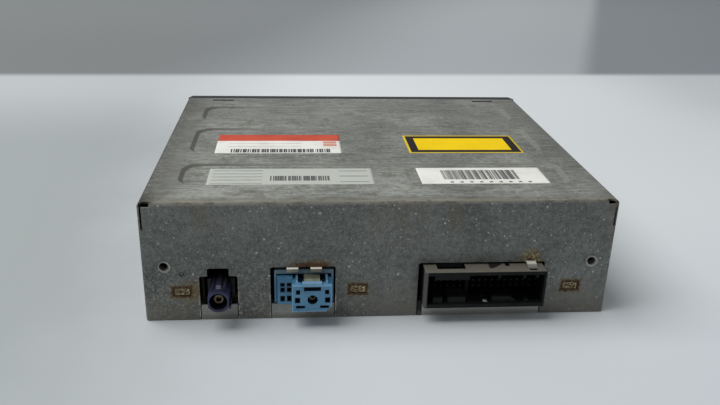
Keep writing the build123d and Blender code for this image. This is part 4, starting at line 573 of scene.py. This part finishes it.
def sticker_net(x0, x1, y0, y1, lift, seed):
    """The top is FIELD_Z plus the thickness plus a few waves of sines, which die out at
    the border, so that the rim stays down on the steel. The underside is flat."""
    u, v = np.meshgrid(np.linspace(0, 1, 61), np.linspace(0, 1, 25), indexing="ij")
    x, y = x0 + (x1 - x0) * u, y0 + (y1 - y0) * v
    border = np.clip(np.minimum.reduce([u * 8, (1 - u) * 8, v * 4, (1 - v) * 4]), 0, 1)
    draw = np.random.default_rng(seed)
    a, b, phase = draw.uniform(3, 22, 6), draw.uniform(2, 9, 6), draw.uniform(0, 6.28, 6)
    wave = np.sin(u[..., None] * a + v[..., None] * b + phase).mean(-1)
    high = FIELD_Z + STICKER_THICK + lift * np.clip(wave, 0, 1) * border
    top = np.stack([x, y, high], -1)
    low = np.stack([x, y, np.full_like(x, FIELD_Z + 0.01)], -1)
    middle = (top + low) / 2
    loop = np.concatenate([top, low[:, ::-1]], 1)
    ends = np.concatenate([middle, middle[:, ::-1]], 1)
    return np.concatenate([ends[:1], loop, ends[-1:]])


# %% [markdown]
# The stickers carry plain bands, broken rules and plain bars. A bar pattern cuts the
# sheet into narrow columns, gives each column a random number, and inks that share of
# it, which gives bars of uneven width that spell nothing. A wider beat leaves a gap
# after every few bars.

# %% Sticker print
def paper(name, ground, gloss=0.45, shine=0.4):
    """Aged coated paper: faint clouds in the ground colour and a soft sheen."""
    made = Finish(name, Specular_IOR_Level=shine)
    made.age = made.noise(0.09, 5.0, 0.65)
    made.colour(ground)
    made.coat(made.age.fade(0.35, 0.75) * 0.35, tone(172, 170, 158))
    made.rough(gloss + made.age * 0.15)
    made.bump(made.noise(0.5, 3.0), 0.15, 0.04)
    return made


def block(finish, x0, x1, y0, y1):
    """1 inside a rectangle on the top, with a crisp border."""
    distance = finish.frame_xy((x0 + x1) / 2, (y0 + y1) / 2, (x1 - x0) / 2, (y1 - y0) / 2)
    return distance.fade(0.06, -0.06)


def chance(finish, value):
    """A random number from 0 to 1 for each whole step of the value."""
    settings = {"noise_dimensions": "1D"}
    return finish.node("ShaderNodeTexWhiteNoise", settings, {"W": value.math("FLOOR")})


def bars(finish, x0, x1, y0, y1, columns, beat):
    """Upright bars inside a rectangle; columns is their number in a millimetre, and
    beat the length of a group of them."""
    along = finish.x * columns
    ink = (along.math("FRACT") - chance(finish, along) * 0.4).fade(0.66, 0.58)
    gap = abs((finish.x * (1.0 / beat)).math("FRACT") - 0.5).fade(0.46, 0.44)
    return ink * gap * block(finish, x0, x1, y0, y1)


def rules(finish, x0, x1, levels, thick):
    """Thin level rules, broken at random, as on a filled form seen from afar."""
    broken = 0.35 + chance(finish, finish.x * 1.3 + finish.y * 7.0).fade(0.3, 0.4) * 0.65
    mask = block(finish, x0, x1, levels[0] - thick / 2, levels[0] + thick / 2)
    for y in levels[1:]:
        mask = mask.most(block(finish, x0, x1, y - thick / 2, y + thick / 2))
    return mask * broken


def row(panel_y):
    """Place along the cover, from the distance to the connector panel."""
    return PANEL_Y + panel_y


INK = tone(44, 44, 46)

# %% Sticker with a red band
banded = paper("sticker_banded", tone(228, 227, 220))
band = banded.y.fade(row(77.4), row(77.8))
band_tone = banded.mix(banded.age.fade(0.35, 0.7), tone(196, 74, 46), tone(176, 64, 42))
banded.coat(band, band_tone)
banded_bars = bars(banded, -61.0, -17.0, row(61.0), row(66.0), 0.95, 4.0)
banded.coat(banded_bars * 0.95, INK)
tag = block(banded, -20.0, -14.0, row(70.0), row(76.8))
tag = tag * (1.0 - block(banded, -20.4, -13.6, row(73.0), row(73.7)))
banded.coat(tag * 0.8, tone(196, 104, 76))
banded_rules = rules(banded, -62.5, -30.0, [row(69.4), row(73.8)], 0.6)
banded.coat(banded_rules * 0.6, tone(120, 70, 60))
banded.tell()

# %% Silver sticker with rules
ruled = paper("sticker_ruled", tone(182, 185, 178))
fine_rules = rules(ruled, -66.0, -46.0, [row(n) for n in (23.0, 27.0, 30.5, 34.0, 37.6)], 0.9)
ruled.coat(fine_rules * 0.6, INK)
ruled_bars = bars(ruled, -43.0, -19.0, row(26.0), row(31.4), 1.05, 6.0)
ruled.coat(ruled_bars * 0.85, INK)
side_rules = rules(ruled, -15.0, -3.4, [row(n) for n in (24.6, 31.0, 37.0)], 1.0)
ruled.coat(side_rules * 0.6, INK)
ruled.tell()

# %% Yellow sticker with a dark frame
framed = paper("sticker_framed", tone(226, 190, 10), 0.5, 0.12)
rim_in = framed.frame_xy(44.1, row(73.0), 25.1, 11.8).fade(0.1, -0.1)
heart = framed.frame_xy(44.0, row(73.0), 21.4, 8.6).fade(0.1, -0.1)
heart_tone = framed.mix(framed.age.fade(0.3, 0.8), tone(240, 204, 0), tone(226, 188, 4))
framed.colour(framed.mix(rim_in, tone(212, 184, 36), tone(36, 32, 34)))
framed.coat(heart, heart_tone)
framed.tell()

# %% White sticker with bars
barred = paper("sticker_barred", tone(231, 230, 224))
barred_bars = bars(barred, 27.3, 58.7, row(26.6), row(37.6), 1.4, 2.86)
barred.coat(barred_bars * 0.9, tone(42, 42, 42))
ticks = block(barred, 27.0, 64.0, row(23.0), row(24.4))
ticks = ticks * abs((barred.x * 0.25).math("FRACT") - 0.5).fade(0.2, 0.16)
barred.coat(ticks * 0.85, INK)
barred.tell()

# %% Stickers
# Name, finish, x from and to, distance to the panel from and to, bulge, random seed.
STICKERS = [
    ("banded_sticker", banded, -67.8, -12.2, 59.8, 87.0, 0.10, 3),
    ("ruled_sticker", ruled, -67.6, -1.2, 21.6, 40.2, 0.12, 5),
    ("framed_sticker", framed, 18.0, 70.2, 60.0, 86.0, 0.05, 7),
    ("barred_sticker", barred, 17.5, 70.1, 21.6, 40.5, 0.08, 9),
]
for name, finish, x0, x1, y0, y1, lift, seed in STICKERS:
    net = sticker_net(x0, x1, row(y0), row(y1), lift, seed)
    piece(net_mesh(name, net), finish, "case")

# %% [markdown]
# ## Moulded plastic
# Every moulding here is dyed plastic with a fine grain, so they share one recipe: two
# close tones that drift slowly, a grain in the bump, and dust that gathers in patches.
# Only the colours, the grain and the amount of dust change.

# %% Plastics
def moulded(name, tone_low, tone_high, gloss=0.45, grain=3.0, dust=0.25, **constants):
    """Dyed plastic; grain is its number in a millimetre, and dust the share it covers."""
    made = Finish(name, **constants)
    drift = made.noise(0.12, 4.0, 0.6)
    made.grit = made.noise(grain, 2.0, 0.5)
    made.colour(made.mix(drift.fade(0.3, 0.7), tone_low, tone_high))
    lay = made.noise(0.5, 4.0, 0.65).fade(0.5, 0.75)
    made.coat(lay * dust, tone(128, 122, 108))
    made.rough(gloss + made.grit * 0.14 + lay * dust * 0.3)
    made.bump(made.grit + lay * dust, 0.25, 0.03)
    return made


# %% [markdown]
# The aerial connector is violet-blue. Little light gets into its round bore or behind
# the panel, so both are toned down. Its flat top, with the ramp of the catch in the
# middle, is darker than its front.

# %% Aerial connector
AERIAL_X, AERIAL_Z = -61.5, 12.75
violet = moulded("violet_plastic", tone(36, 39, 72), tone(48, 52, 90), 0.42, 3.0, 0.06)
in_bore = violet.round_y(AERIAL_X, AERIAL_Z).fade(3.45, 3.3)
violet_deep = in_bore.most(violet.y.fade(-79.0, -75.0))
violet.coat(violet.z.fade(14.5, 9.5) * 0.6, tone(26, 26, 48))
aerial_top = violet.z.fade(15.2, 17.0)
violet.coat(aerial_top * 0.7, tone(20, 22, 40))
ramp = abs(violet.x - AERIAL_X).fade(1.2, 0.9) * violet.z.fade(16.95, 17.05)
ramp = ramp * violet.y.fade(-79.4, -79.8)
violet.coat(ramp * 0.6, tone(20, 22, 44))
violet.coat(violet_deep * 0.92, tone(14, 14, 20))
dress(violet, "fakra_housing")

# %% [markdown]
# The light blue connector is full of little sockets. Their walls are the same plastic,
# but hardly any light gets in, so everything behind the two front faces is toned down.
# A dark patch a little wider than each small mouth stands for the shade and dirt round
# it. Dust lies along the upper edge, a painted highlight runs along the ridge on top, and
# the rim of the front carries a painted highlight.

# %% Light blue connector
VIDEO_X, BLOCK_FRONT, WAYS_FRONT = -26.95, -81.9, -75.1
blue = moulded("light_blue_plastic", tone(58, 110, 144), tone(84, 138, 172), 0.36, 3.0, 0.10)
in_block = blue.frame_xz(-27.0, 12.3, 7.3, 4.75).fade(0.05, -0.05)
in_block = in_block * blue.y.fade(BLOCK_FRONT, BLOCK_FRONT + 0.3)
in_ways = blue.frame_xz(-36.9, 12.6, 2.6, 5.3).fade(0.05, -0.05)
in_ways = in_ways * blue.y.fade(WAYS_FRONT, WAYS_FRONT + 0.3)
sunk = in_block.most(in_ways).most(blue.y.fade(-73.6, -71.5) * 0.85)

# Each mouth is x, z, half its width and half its height.
MOUTHS = [(x, z, 0.95, tall) for x in (-38.0, -35.5)
          for z, tall in ((15.3, 0.85), (13.1, 1.1), (9.3, 1.3))]
MOUTHS += [(x, 15.65, 0.8, 0.95) for x in (-32.15, -21.35)]
MOUTHS += [(x, 12.25, 1.0, 1.15) for x in (-32.35, -21.15)]
MOUTHS += [(x, 9.4, 1.7, 0.6) for x in (-31.25, -22.25)]
MOUTHS += [(-26.8, 16.95, 3.2, 0.85)]
for mouth in MOUTHS:
    sunk = sunk.most(blue.frame_xz(*mouth).fade(0.08, -0.08) * blue.y.fade(-73.0, -74.0))
well = blue.frame_xy(VIDEO_X, PANEL_Y, 5.1, 5.2).fade(0.05, -0.15) * blue.z.fade(18.1, 17.6)
blue.coat(sunk.most(well * 0.6) * 0.92, tone(12, 20, 32))
shell_dust = blue.z.fade(18.5, 19.3) * (0.5 + blue.grit.fade(0.35, 0.6) * 0.5)
blue.coat(shell_dust * 0.9, tone(96, 102, 102))
# Painted highlight along the ridge on top of the block.
ridge_highlight = blue.z.fade(18.7, 18.95) * blue.y.fade(-78.5, -79.2)
blue.coat(ridge_highlight * 0.5, tone(140, 184, 222))
# Painted highlight round the rim of the front.
rim_highlight = abs(blue.frame_xz(VIDEO_X, 12.9, 7.45, 5.5) + 0.15).fade(0.3, 0.1)
rim_highlight = rim_highlight * blue.y.fade(-81.0, BLOCK_FRONT)
blue.coat(rim_highlight * blue.grit.fade(0.3, 0.6) * 0.6, tone(158, 196, 220))
dress(blue, "video_housing")

# %% [markdown]
# The long header is dusty black plastic. Its roof is grey, with dust and a painted
# highlight where the light strikes, and dust lies on its left wall. The inside is painted
# darker than the plastic, as painted shade. Towards the right end a shallow dip in the
# roof is painted dark as well, as painted shade.

# %% Header plastic
ROOF_Z = 22.2
header = moulded("header_plastic", tone(14, 15, 15), tone(24, 25, 25), 0.55, 3.0, 0.04,
                 Specular_IOR_Level=0.15)
roof = header.z.fade(ROOF_Z - 0.15, ROOF_Z - 0.02) * header.y.fade(-72.5, -74.2)
roof_dust = header.noise(0.4, 5.0, 0.7).fade(0.15, 0.5)
left_wall = header.x.fade(17.4, 16.2) * header.y.fade(-76.0, -79.0)
inside_shade = header.y.fade(-79.1, -77.0) * (1.0 - roof)
header.coat(left_wall * (0.4 + header.grit * 0.5), tone(108, 108, 104))
# Painted shade inside the header.
header.coat(inside_shade * 0.9, tone(4, 4, 5))
# The roof's grey is dust together with a painted highlight.
header.coat(roof * (0.45 + roof_dust * 0.5), tone(108, 105, 95))
# A shallow dip in the roof is painted dark, as painted shade.
dip_start = (header.x - header.grit).fade(40.3, 40.9)
dip_end = (header.x - header.y * 1.2 + header.grit).fade(135.6, 136.2)
dip_shade = roof * dip_start * (1.0 - dip_end) * header.y.fade(-77.8, -77.2)
header.coat(dip_shade * 0.9, tone(12, 12, 12))
dress(header, "main_header")

# %% [markdown]
# The front, its shutter and its button are one dull black. Inside, the gears, the rack
# and the pulley are plain white acetal, which runs quietly without grease, and the
# dampers, the belt and the feed roller are black rubber.

# %% Other plastics
bezel = moulded("bezel_plastic", tone(24, 24, 26), tone(34, 34, 37), 0.5, 1.6, 0.14)
dress(bezel, "front_bezel", "slot_shutter", "eject_button")

black = moulded("black_plastic", tone(20, 20, 22), tone(30, 30, 33), 0.4, 3.0, 0.05)
dress(black, "lens_holder", "turntable", "clamper", "eject_switch")

grey = moulded("grey_plastic", tone(92, 94, 96), tone(108, 110, 112), 0.42, 3.0, 0.04)
dress(grey, "disc_guide", "traverse_frame")

acetal = moulded("white_acetal", tone(214, 212, 202), tone(226, 224, 216), 0.34, 4.0, 0.05,
                 Subsurface_Weight=0.1, Subsurface_Scale=0.001)
dress(acetal, "sled_gear", "load_gear", "pivot_gear", "pickup_rack", "feed_pulley", "sled_pinion")

rubber = moulded("rubber", tone(26, 26, 26), tone(38, 38, 38), 0.7, 5.0, 0.1)
dress(rubber, "dampers", "feed_belt", "feed_rubber")

lens_cap = moulded("lamp_lens", tone(206, 210, 208), tone(226, 228, 226), 0.2, 4.0, 0.0,
                   Transmission_Weight=0.6, IOR=1.49)
dress(lens_cap, "indicator_lens")

# %% [markdown]
# ## Bright metal
# Springs, pins, screws and plated sheet differ from one another by colour and by how
# wide their highlights are. The recipe mixes a little tarnish into a metallic colour
# and scratches the roughness.

# %% Metals
def metal(name, tone_low, tone_high, gloss=0.28, stretch=(1.0, 1.0, 1.0), tarnish=0.2):
    """Bare or plated metal; stretch draws its fine lines out along an axis."""
    made = Finish(name, Metallic=0.9)
    old = made.noise(0.25, 5.0, 0.65)
    lines = made.noise(2.5, 3.0, 0.6, made.stretch(made.place, *stretch))
    made.colour(made.mix(old.fade(0.35, 0.7), tone_low, tone_high))
    made.coat(old.fade(0.55, 0.8) * tarnish, tone(104, 92, 70))
    made.rough(gloss + lines * 0.2)
    made.bump(lines, 0.2, 0.02)
    return made


# %% [markdown]
# The springs on the light blue connector and on the long header are pale plated steel,
# dull along their lower edge.

# %% Springs
sprung = metal("spring_metal", tone(232, 226, 206), tone(246, 242, 230), 0.3)
lip = sprung.y.fade(-74.2, -74.8)
sprung.coat(lip * sprung.z.fade(21.8, 21.5) * 0.85, tone(104, 100, 84))
sprung.metal(0.2)
dress(sprung, "video_springs")
leaf = metal("leaf_metal", tone(232, 228, 212), tone(246, 244, 236), 0.3)
leaf_low = leaf.z.fade(23.35, 22.95)
leaf.coat(leaf_low * 0.8, tone(112, 108, 92))
leaf.metal(0.4)
dress(leaf, "header_spring")

# %% [markdown]
# The works inside are brighter than the case, because they have been shut away: plated
# sheet rolled in one direction, ground rods with fine lines round them, zinc castings.

# %% Works of the drive
plated = metal("plated_sheet", tone(186, 188, 186), tone(206, 208, 206), 0.32, (0.2, 4.0, 1.0), 0.1)
dress(plated, "deck_brackets", "deck_frame", "deck_lid", "clamp_arm", "roller_arm", "mode_slider")
ground_steel = metal("ground_steel", tone(206, 206, 204), tone(222, 222, 220), 0.16,
                     (0.3, 4.0, 4.0), 0.05)
dress(ground_steel, "guide_rods", "feed_shaft", "drive_pins")
screws = metal("screw_steel", tone(170, 168, 158), tone(196, 194, 184), 0.3)
dress(screws, "cover_screws", "board_screws", "drive_screws")
motor_can = metal("motor_can", tone(188, 188, 186), tone(206, 206, 204), 0.3, (4.0, 0.3, 4.0), 0.05)
dress(motor_can, "sled_motor", "load_motor", "rotor_cup")
brass = metal("brass", tone(202, 166, 92), tone(220, 186, 112), 0.26)
dress(brass, "load_pinion")
cast = metal("cast_zinc", tone(146, 148, 150), tone(168, 170, 172), 0.45, (1.0, 1.0, 1.0), 0.05)
dress(cast, "pickup_body")
tin = metal("tinned_can", tone(190, 192, 190), tone(212, 214, 212), 0.3)
dress(tin, "receiver_can", "gyro_sensor")

# %% [markdown]
# The contacts have darkened with age. The barrel of the aerial connector still shows a
# dull brass, and the rest of that contact is painted near black, as painted shade. The
# folded latch plate of the video connector is greenish grey. The header's pins are
# darkest inside its mouth, where hardly any light comes.

# %% Contacts
contact = metal("contact_metal", tone(96, 84, 70), tone(124, 110, 92), 0.45, (1.0, 1.0, 1.0), 0.5)
# Away from the axis of the bore the aerial contact is painted near black, as painted shade.
beyond_barrel_shade = contact.round_y(AERIAL_X, AERIAL_Z).fade(2.2, 2.6)
contact.coat(beyond_barrel_shade * 0.9, tone(20, 20, 18))
dress(contact, "fakra_contact")
pin_metal = metal("pin_metal", tone(40, 36, 26), tone(56, 50, 36), 0.5, (1.0, 1.0, 1.0), 0.4)
in_header = pin_metal.y.fade(-60.0, -72.0) * 0.9
pin_metal.coat(in_header, tone(10, 10, 8))
pin_metal.metal(0.3)
dress(pin_metal, "header_pins")
latch = metal("latch_metal", tone(104, 110, 96), tone(140, 144, 124), 0.42, (1.0, 1.0, 1.0), 0.3)
latch.metal(0.5)
dress(latch, "video_contacts")

# %% [markdown]
# ## Boards and what is on them
# A printed board is green lacquer over copper. The tracks are a noise drawn out along
# the board and cut at a level, and tinned pads are small spots on top. Near the
# connectors the board is painted dark, as painted shade, since it shows there through
# narrow gaps only.

# %% Boards
board = Finish("board_green", Coat_Weight=0.3, Coat_Roughness=0.15)
tracks = board.noise(0.35, 2.0, 0.4, board.stretch(board.place, 1.0, 3.0, 1.0)).fade(0.48, 0.52)
cloth = board.noise(3.0, 2.0, 0.5)
board.colour(board.mix(tracks, tone(14, 62, 38), tone(26, 88, 54)))
board.coat(board.dots(0.5, 0.4) * 0.6, tone(160, 158, 132))
# Painted shade on the board near the connectors.
board.coat(board.y.fade(-62.0, -68.0) * 0.85, tone(14, 18, 16))
board.rough(0.35 + tracks * 0.1 + cloth * 0.05)
board.bump(tracks + cloth * 0.3, 0.3, 0.03)
dress(board, "main_board", "servo_board", "front_board")

# %% [markdown]
# The chips are matt black, the coils dark ferrite with a few bright grains, and the
# capacitors are aluminium cans that stand on a black foot. The flat lead is white, with
# its strands a millimetre apart.

# %% Parts on the boards
CAN_FOOT_Z = 8.1
chip = moulded("chip_black", tone(26, 26, 28), tone(34, 34, 36), 0.5, 4.0, 0.04)
dress(chip, "processor_chips", "memory_chips", "servo_chips")
ferrite = moulded("coil_ferrite", tone(58, 58, 60), tone(72, 72, 74), 0.55, 2.0, 0.05)
ferrite.metal(ferrite.grit.fade(0.55, 0.75) * 0.4)
dress(ferrite, "power_coils")
cans = metal("capacitor_can", tone(186, 188, 192), tone(206, 208, 212), 0.28)
foot = cans.z.fade(CAN_FOOT_Z, CAN_FOOT_Z - 0.3)
cans.coat(foot, tone(28, 28, 30))
cans.metal(0.9 - foot * 0.9)
dress(cans, "capacitors")
cream = moulded("cream_plastic", tone(214, 206, 182), tone(228, 220, 198), 0.4, 4.0, 0.04)
dress(cream, "board_sockets")
ribbon = moulded("flat_cable", tone(206, 208, 206), tone(222, 224, 222), 0.3, 4.0, 0.02)
strands = abs(ribbon.x.math("FRACT") - 0.5).fade(0.22, 0.30)
ribbon.coat(strands * 0.5, tone(150, 148, 140))
dress(ribbon, "main_ribbon")

# %% [markdown]
# The core of the spindle motor is bare laminated steel. The lens is coated glass, so a
# faint blue and violet play on it.

# %% Motor core and lens
core = metal("wound_core", tone(120, 116, 110), tone(146, 142, 136), 0.35)
dress(core, "spindle_base")
glass = Finish("lens_glass", Roughness=0.05, Transmission_Weight=0.8, IOR=1.5)
glass.colour(glass.mix(glass.noise(0.3).fade(0.3, 0.7), tone(150, 170, 220), tone(176, 150, 214)))
glass.bump(glass.noise(1.0), 0.05, 0.01)
dress(glass, "objective_lens")
print("still bare:", sorted(undressed))

# %% [markdown]
# ## Chip legs
# A flat chip stands on bent legs. Each leg is one small strip: it leaves the side of the
# chip level, bends down and ends in a foot on the board. The strip's path is the same
# four points for every leg, so all the legs of all the chips are one array, in which
# each leg is moved to its place and turned to its side.

# %% Leg strips
LEG_WIDE, LEG_THICK, LEG_PITCH = 0.34, 0.14, 0.8


def leg_nets(x, y, wide, deep, tall, ground, sides, hang=1.0):
    """Path (out, up): level at 0.6 of the height, a slope, then a foot. At each point of
    the path stands a rectangle of the leg's width and thickness; the ends shrink to points."""
    knee, sole = tall * 0.6, LEG_THICK / 2
    path = np.array([(-0.2, knee), (0.2, knee), (0.45, sole), (0.9, sole)])
    path = np.concatenate([path[:1], path, path[-1:]])
    swell = np.array([0, 1, 1, 1, 1, 0])[:, None]
    across = np.array([-1, 1, 1, -1]) * LEG_WIDE / 2 * swell
    lift = np.array([-1, -1, 1, 1]) * LEG_THICK / 2 * swell
    out = np.broadcast_to(path[:, :1], across.shape)
    rise = ground + hang * (path[:, 1:] + lift)
    nets = []
    for side in sides:
        span, half = (wide, deep / 2) if side in "NS" else (deep, wide / 2)
        places = np.arange(int((span - 1.6) / LEG_PITCH) + 1) * LEG_PITCH
        places = (places - places.mean())[:, None, None]
        away, along = np.broadcast_arrays(half + out, places + across)
        high = np.broadcast_to(rise, away.shape)
        ways = {"E": (away, along), "W": (-away, along), "N": (along, away), "S": (along, -away)}
        east, north = ways[side]
        nets.append(np.stack([x + east, y + north, high], -1))
    return np.concatenate(nets)


# %% Legs of every chip
BOARD_TOP, SERVO_UNDER = 6.9, 20.4
ROUND = "NESW"

# Each chip is x, y, width, depth, height and the sides that have legs.
CHIPS = [(-8, 22, 31, 31, 2.4, ROUND), (32, 18, 27, 27, 1.8, ROUND), (-46, 30, 20, 20, 1.6, ROUND)]
CHIPS += [(8, -48, 14, 10, 1.6, "NS")]
CHIPS += [(x, y, 22, 12, 1.2, "NS") for x, y in ((-36, 6), (-36, -8), (-58, 8))]
CHIPS += [(x, y, 12, 22, 1.2, "EW") for x, y in ((24, -8), (42, -8), (60, 14))]
HUNG = [(10, 4, 20, 20, 1.4, ROUND), (-24, -10, 14, 14, 1.2, ROUND), (34, -14, 12, 10, 1.4, "EW")]
HUNG += [(-34, 18, 8, 18, 1.0, "EW")]
legs = [leg_nets(x, y, w, d, t, BOARD_TOP, sides) for x, y, w, d, t, sides in CHIPS]
legs += [leg_nets(x, y, w, d, t, SERVO_UNDER, sides, -1.0) for x, y, w, d, t, sides in HUNG]
solder = metal("tinned_leg", tone(178, 180, 180), tone(200, 202, 202), 0.3)
piece(net_mesh("chip_legs", np.concatenate(legs)), solder, "case", smooth=False)

# %% [markdown]
# ## Small parts
# Between the chips stand rows of tiny resistors and capacitors. Each is a rounded block
# with two tinned ends. A block is a ring of points, squarer than a circle, carried
# along its length. The sites are a regular grid, and those too near a chip, a can, a
# coil, a screw or a socket are dropped by one comparison of arrays.

# %% Sites for small parts
SITE_GAP, SITE_SHARE = 2.0, 0.55

# Each taken place is x, y, half its width and half its depth.
TAKEN = [(x, y, w / 2, d / 2) for x, y, w, d, t, sides in CHIPS]
TAKEN += [(-62, -40, 16, 14), (56, 42, 10, 10), (70, -44, 5, 5), (58.5, -44, 5, 5), (70, -32, 5, 5)]
TAKEN += [(48, -44, 4, 4), (59, -32, 4, 4), (-66, 45, 4, 4), (-58, 45, 4, 4), (-8, 41.5, 14, 3)]
TAKEN += [(48, -46, 5, 5), (48, -32, 5, 5), (61, -31, 5, 5), (0, -20, 4, 4), (-52, 56, 9, 4)]
TAKEN += [(70.5, 55, 5, 4), (20, 50, 8, 4)]
TAKEN += [(-61, -65, 9, 12), (-30, -65, 14, 12), (39, -65, 26, 12)]
TAKEN = np.array(TAKEN)
site_x, site_y = np.meshgrid(np.arange(-74, 75, 4.3), np.arange(-56, 60, 3.1), indexing="ij")
gap_x = abs(site_x[..., None] - TAKEN[:, 0]) - TAKEN[:, 2]
gap_y = abs(site_y[..., None] - TAKEN[:, 1]) - TAKEN[:, 3]
free = np.maximum(gap_x, gap_y).min(-1) > SITE_GAP
lucky = np.random.default_rng(11).random(site_x.shape) < SITE_SHARE
sites = np.stack([site_x, site_y], -1)[free & lucky]
print("small parts:", len(sites))


# %% Blocks of the small parts
def block_nets(places, reach, half_wide, half_tall, ground):
    """Ring: (sign(cos a) * |cos a| ** 0.5, the same with sin), scaled to the block; the
    rings stand at the places in reach, and the first and the last shrink to a point."""
    a = (np.arange(8) + 0.5) / 8 * 2 * math.pi
    ring_y = np.sign(np.cos(a)) * abs(np.cos(a)) ** 0.5 * half_wide
    ring_z = np.sign(np.sin(a)) * abs(np.sin(a)) ** 0.5 * half_tall
    x = np.array([reach[0], reach[0], reach[1], reach[1]])
    swell = np.array([0, 1, 1, 0])[:, None]
    shape = np.stack([np.broadcast_to(x[:, None], (4, 8)), swell * ring_y,
                      ground + half_tall + swell * ring_z], -1)
    moved = np.concatenate([places, np.zeros((len(places), 1))], 1)
    return shape + moved[:, None, None]


middle = block_nets(sites, (-0.55, 0.55), 0.38, 0.24, BOARD_TOP)
ends = [block_nets(sites, reach, 0.42, 0.27, BOARD_TOP) for reach in ((-0.85, -0.5), (0.5, 0.85))]
resistor = moulded("small_part_body", tone(60, 46, 34), tone(120, 100, 72), 0.4, 4.0, 0.02)
piece(net_mesh("small_part_bodies", middle), resistor, "case")
piece(net_mesh("small_part_ends", np.concatenate(ends)), solder, "case")

# %% [markdown]
# ## Windings of the spindle motor
# The nine arms of the motor's core carry enamelled wire. One winding is a tube whose
# middle line goes round the arm in a rounded rectangle while it moves outwards, and the
# other eight are the same array turned about the spindle in steps of 40 degrees.

# %% Windings
SPINDLE_Y, ARM_Z = -1.0, 29.7
ARM_START, ARM_LONG = 4.8, 3.8
ARM_HALF_WIDE, ARM_HALF_TALL = 1.3, 1.0
WIRE_R, TURNS, ARMS = 0.17, 11, 9


def winding_net():
    """Middle line: x = start + length * t, y = width * sqrt(cos a), z = height * sqrt(sin a),
    each root with the sign of what is under it. Round it, at the wire's radius, stand
    rings of six points."""
    t = np.linspace(0, 1, TURNS * 12 + 1)[:, None]
    angle = 2 * math.pi * TURNS * t
    round_y, round_z = (np.sign(f) * abs(f) ** 0.5 for f in (np.cos(angle), np.sin(angle)))
    line = np.concatenate([ARM_START + ARM_LONG * t, (ARM_HALF_WIDE + WIRE_R) * round_y,
                           (ARM_HALF_TALL + WIRE_R) * round_z], 1)
    outward = line * (0, 1, 1)
    outward /= np.linalg.norm(outward, axis=1, keepdims=True)
    a = np.arange(6) / 6 * 2 * math.pi
    swell = np.where((t == 0) | (t == 1), 0.0, WIRE_R)[..., None]
    ring = outward[:, None] * np.cos(a)[:, None] + np.array([1.0, 0, 0]) * np.sin(a)[:, None]
    return line[:, None] + swell * ring


def turned(points, degrees):
    """Points turned about the spindle: x cos - y sin, x sin + y cos."""
    c, s = math.cos(math.radians(degrees)), math.sin(math.radians(degrees))
    spin = np.array([[c, s, 0], [-s, c, 0], [0, 0, 1]])
    return points @ spin + np.array([0, SPINDLE_Y, ARM_Z])


enamel = metal("enamelled_wire", tone(176, 92, 44), tone(206, 120, 62), 0.25, (1.0, 1.0, 1.0), 0.1)
windings = np.stack([turned(winding_net(), 360 / ARMS * n) for n in range(ARMS)])
piece(net_mesh("spindle_windings", windings), enamel, "case")
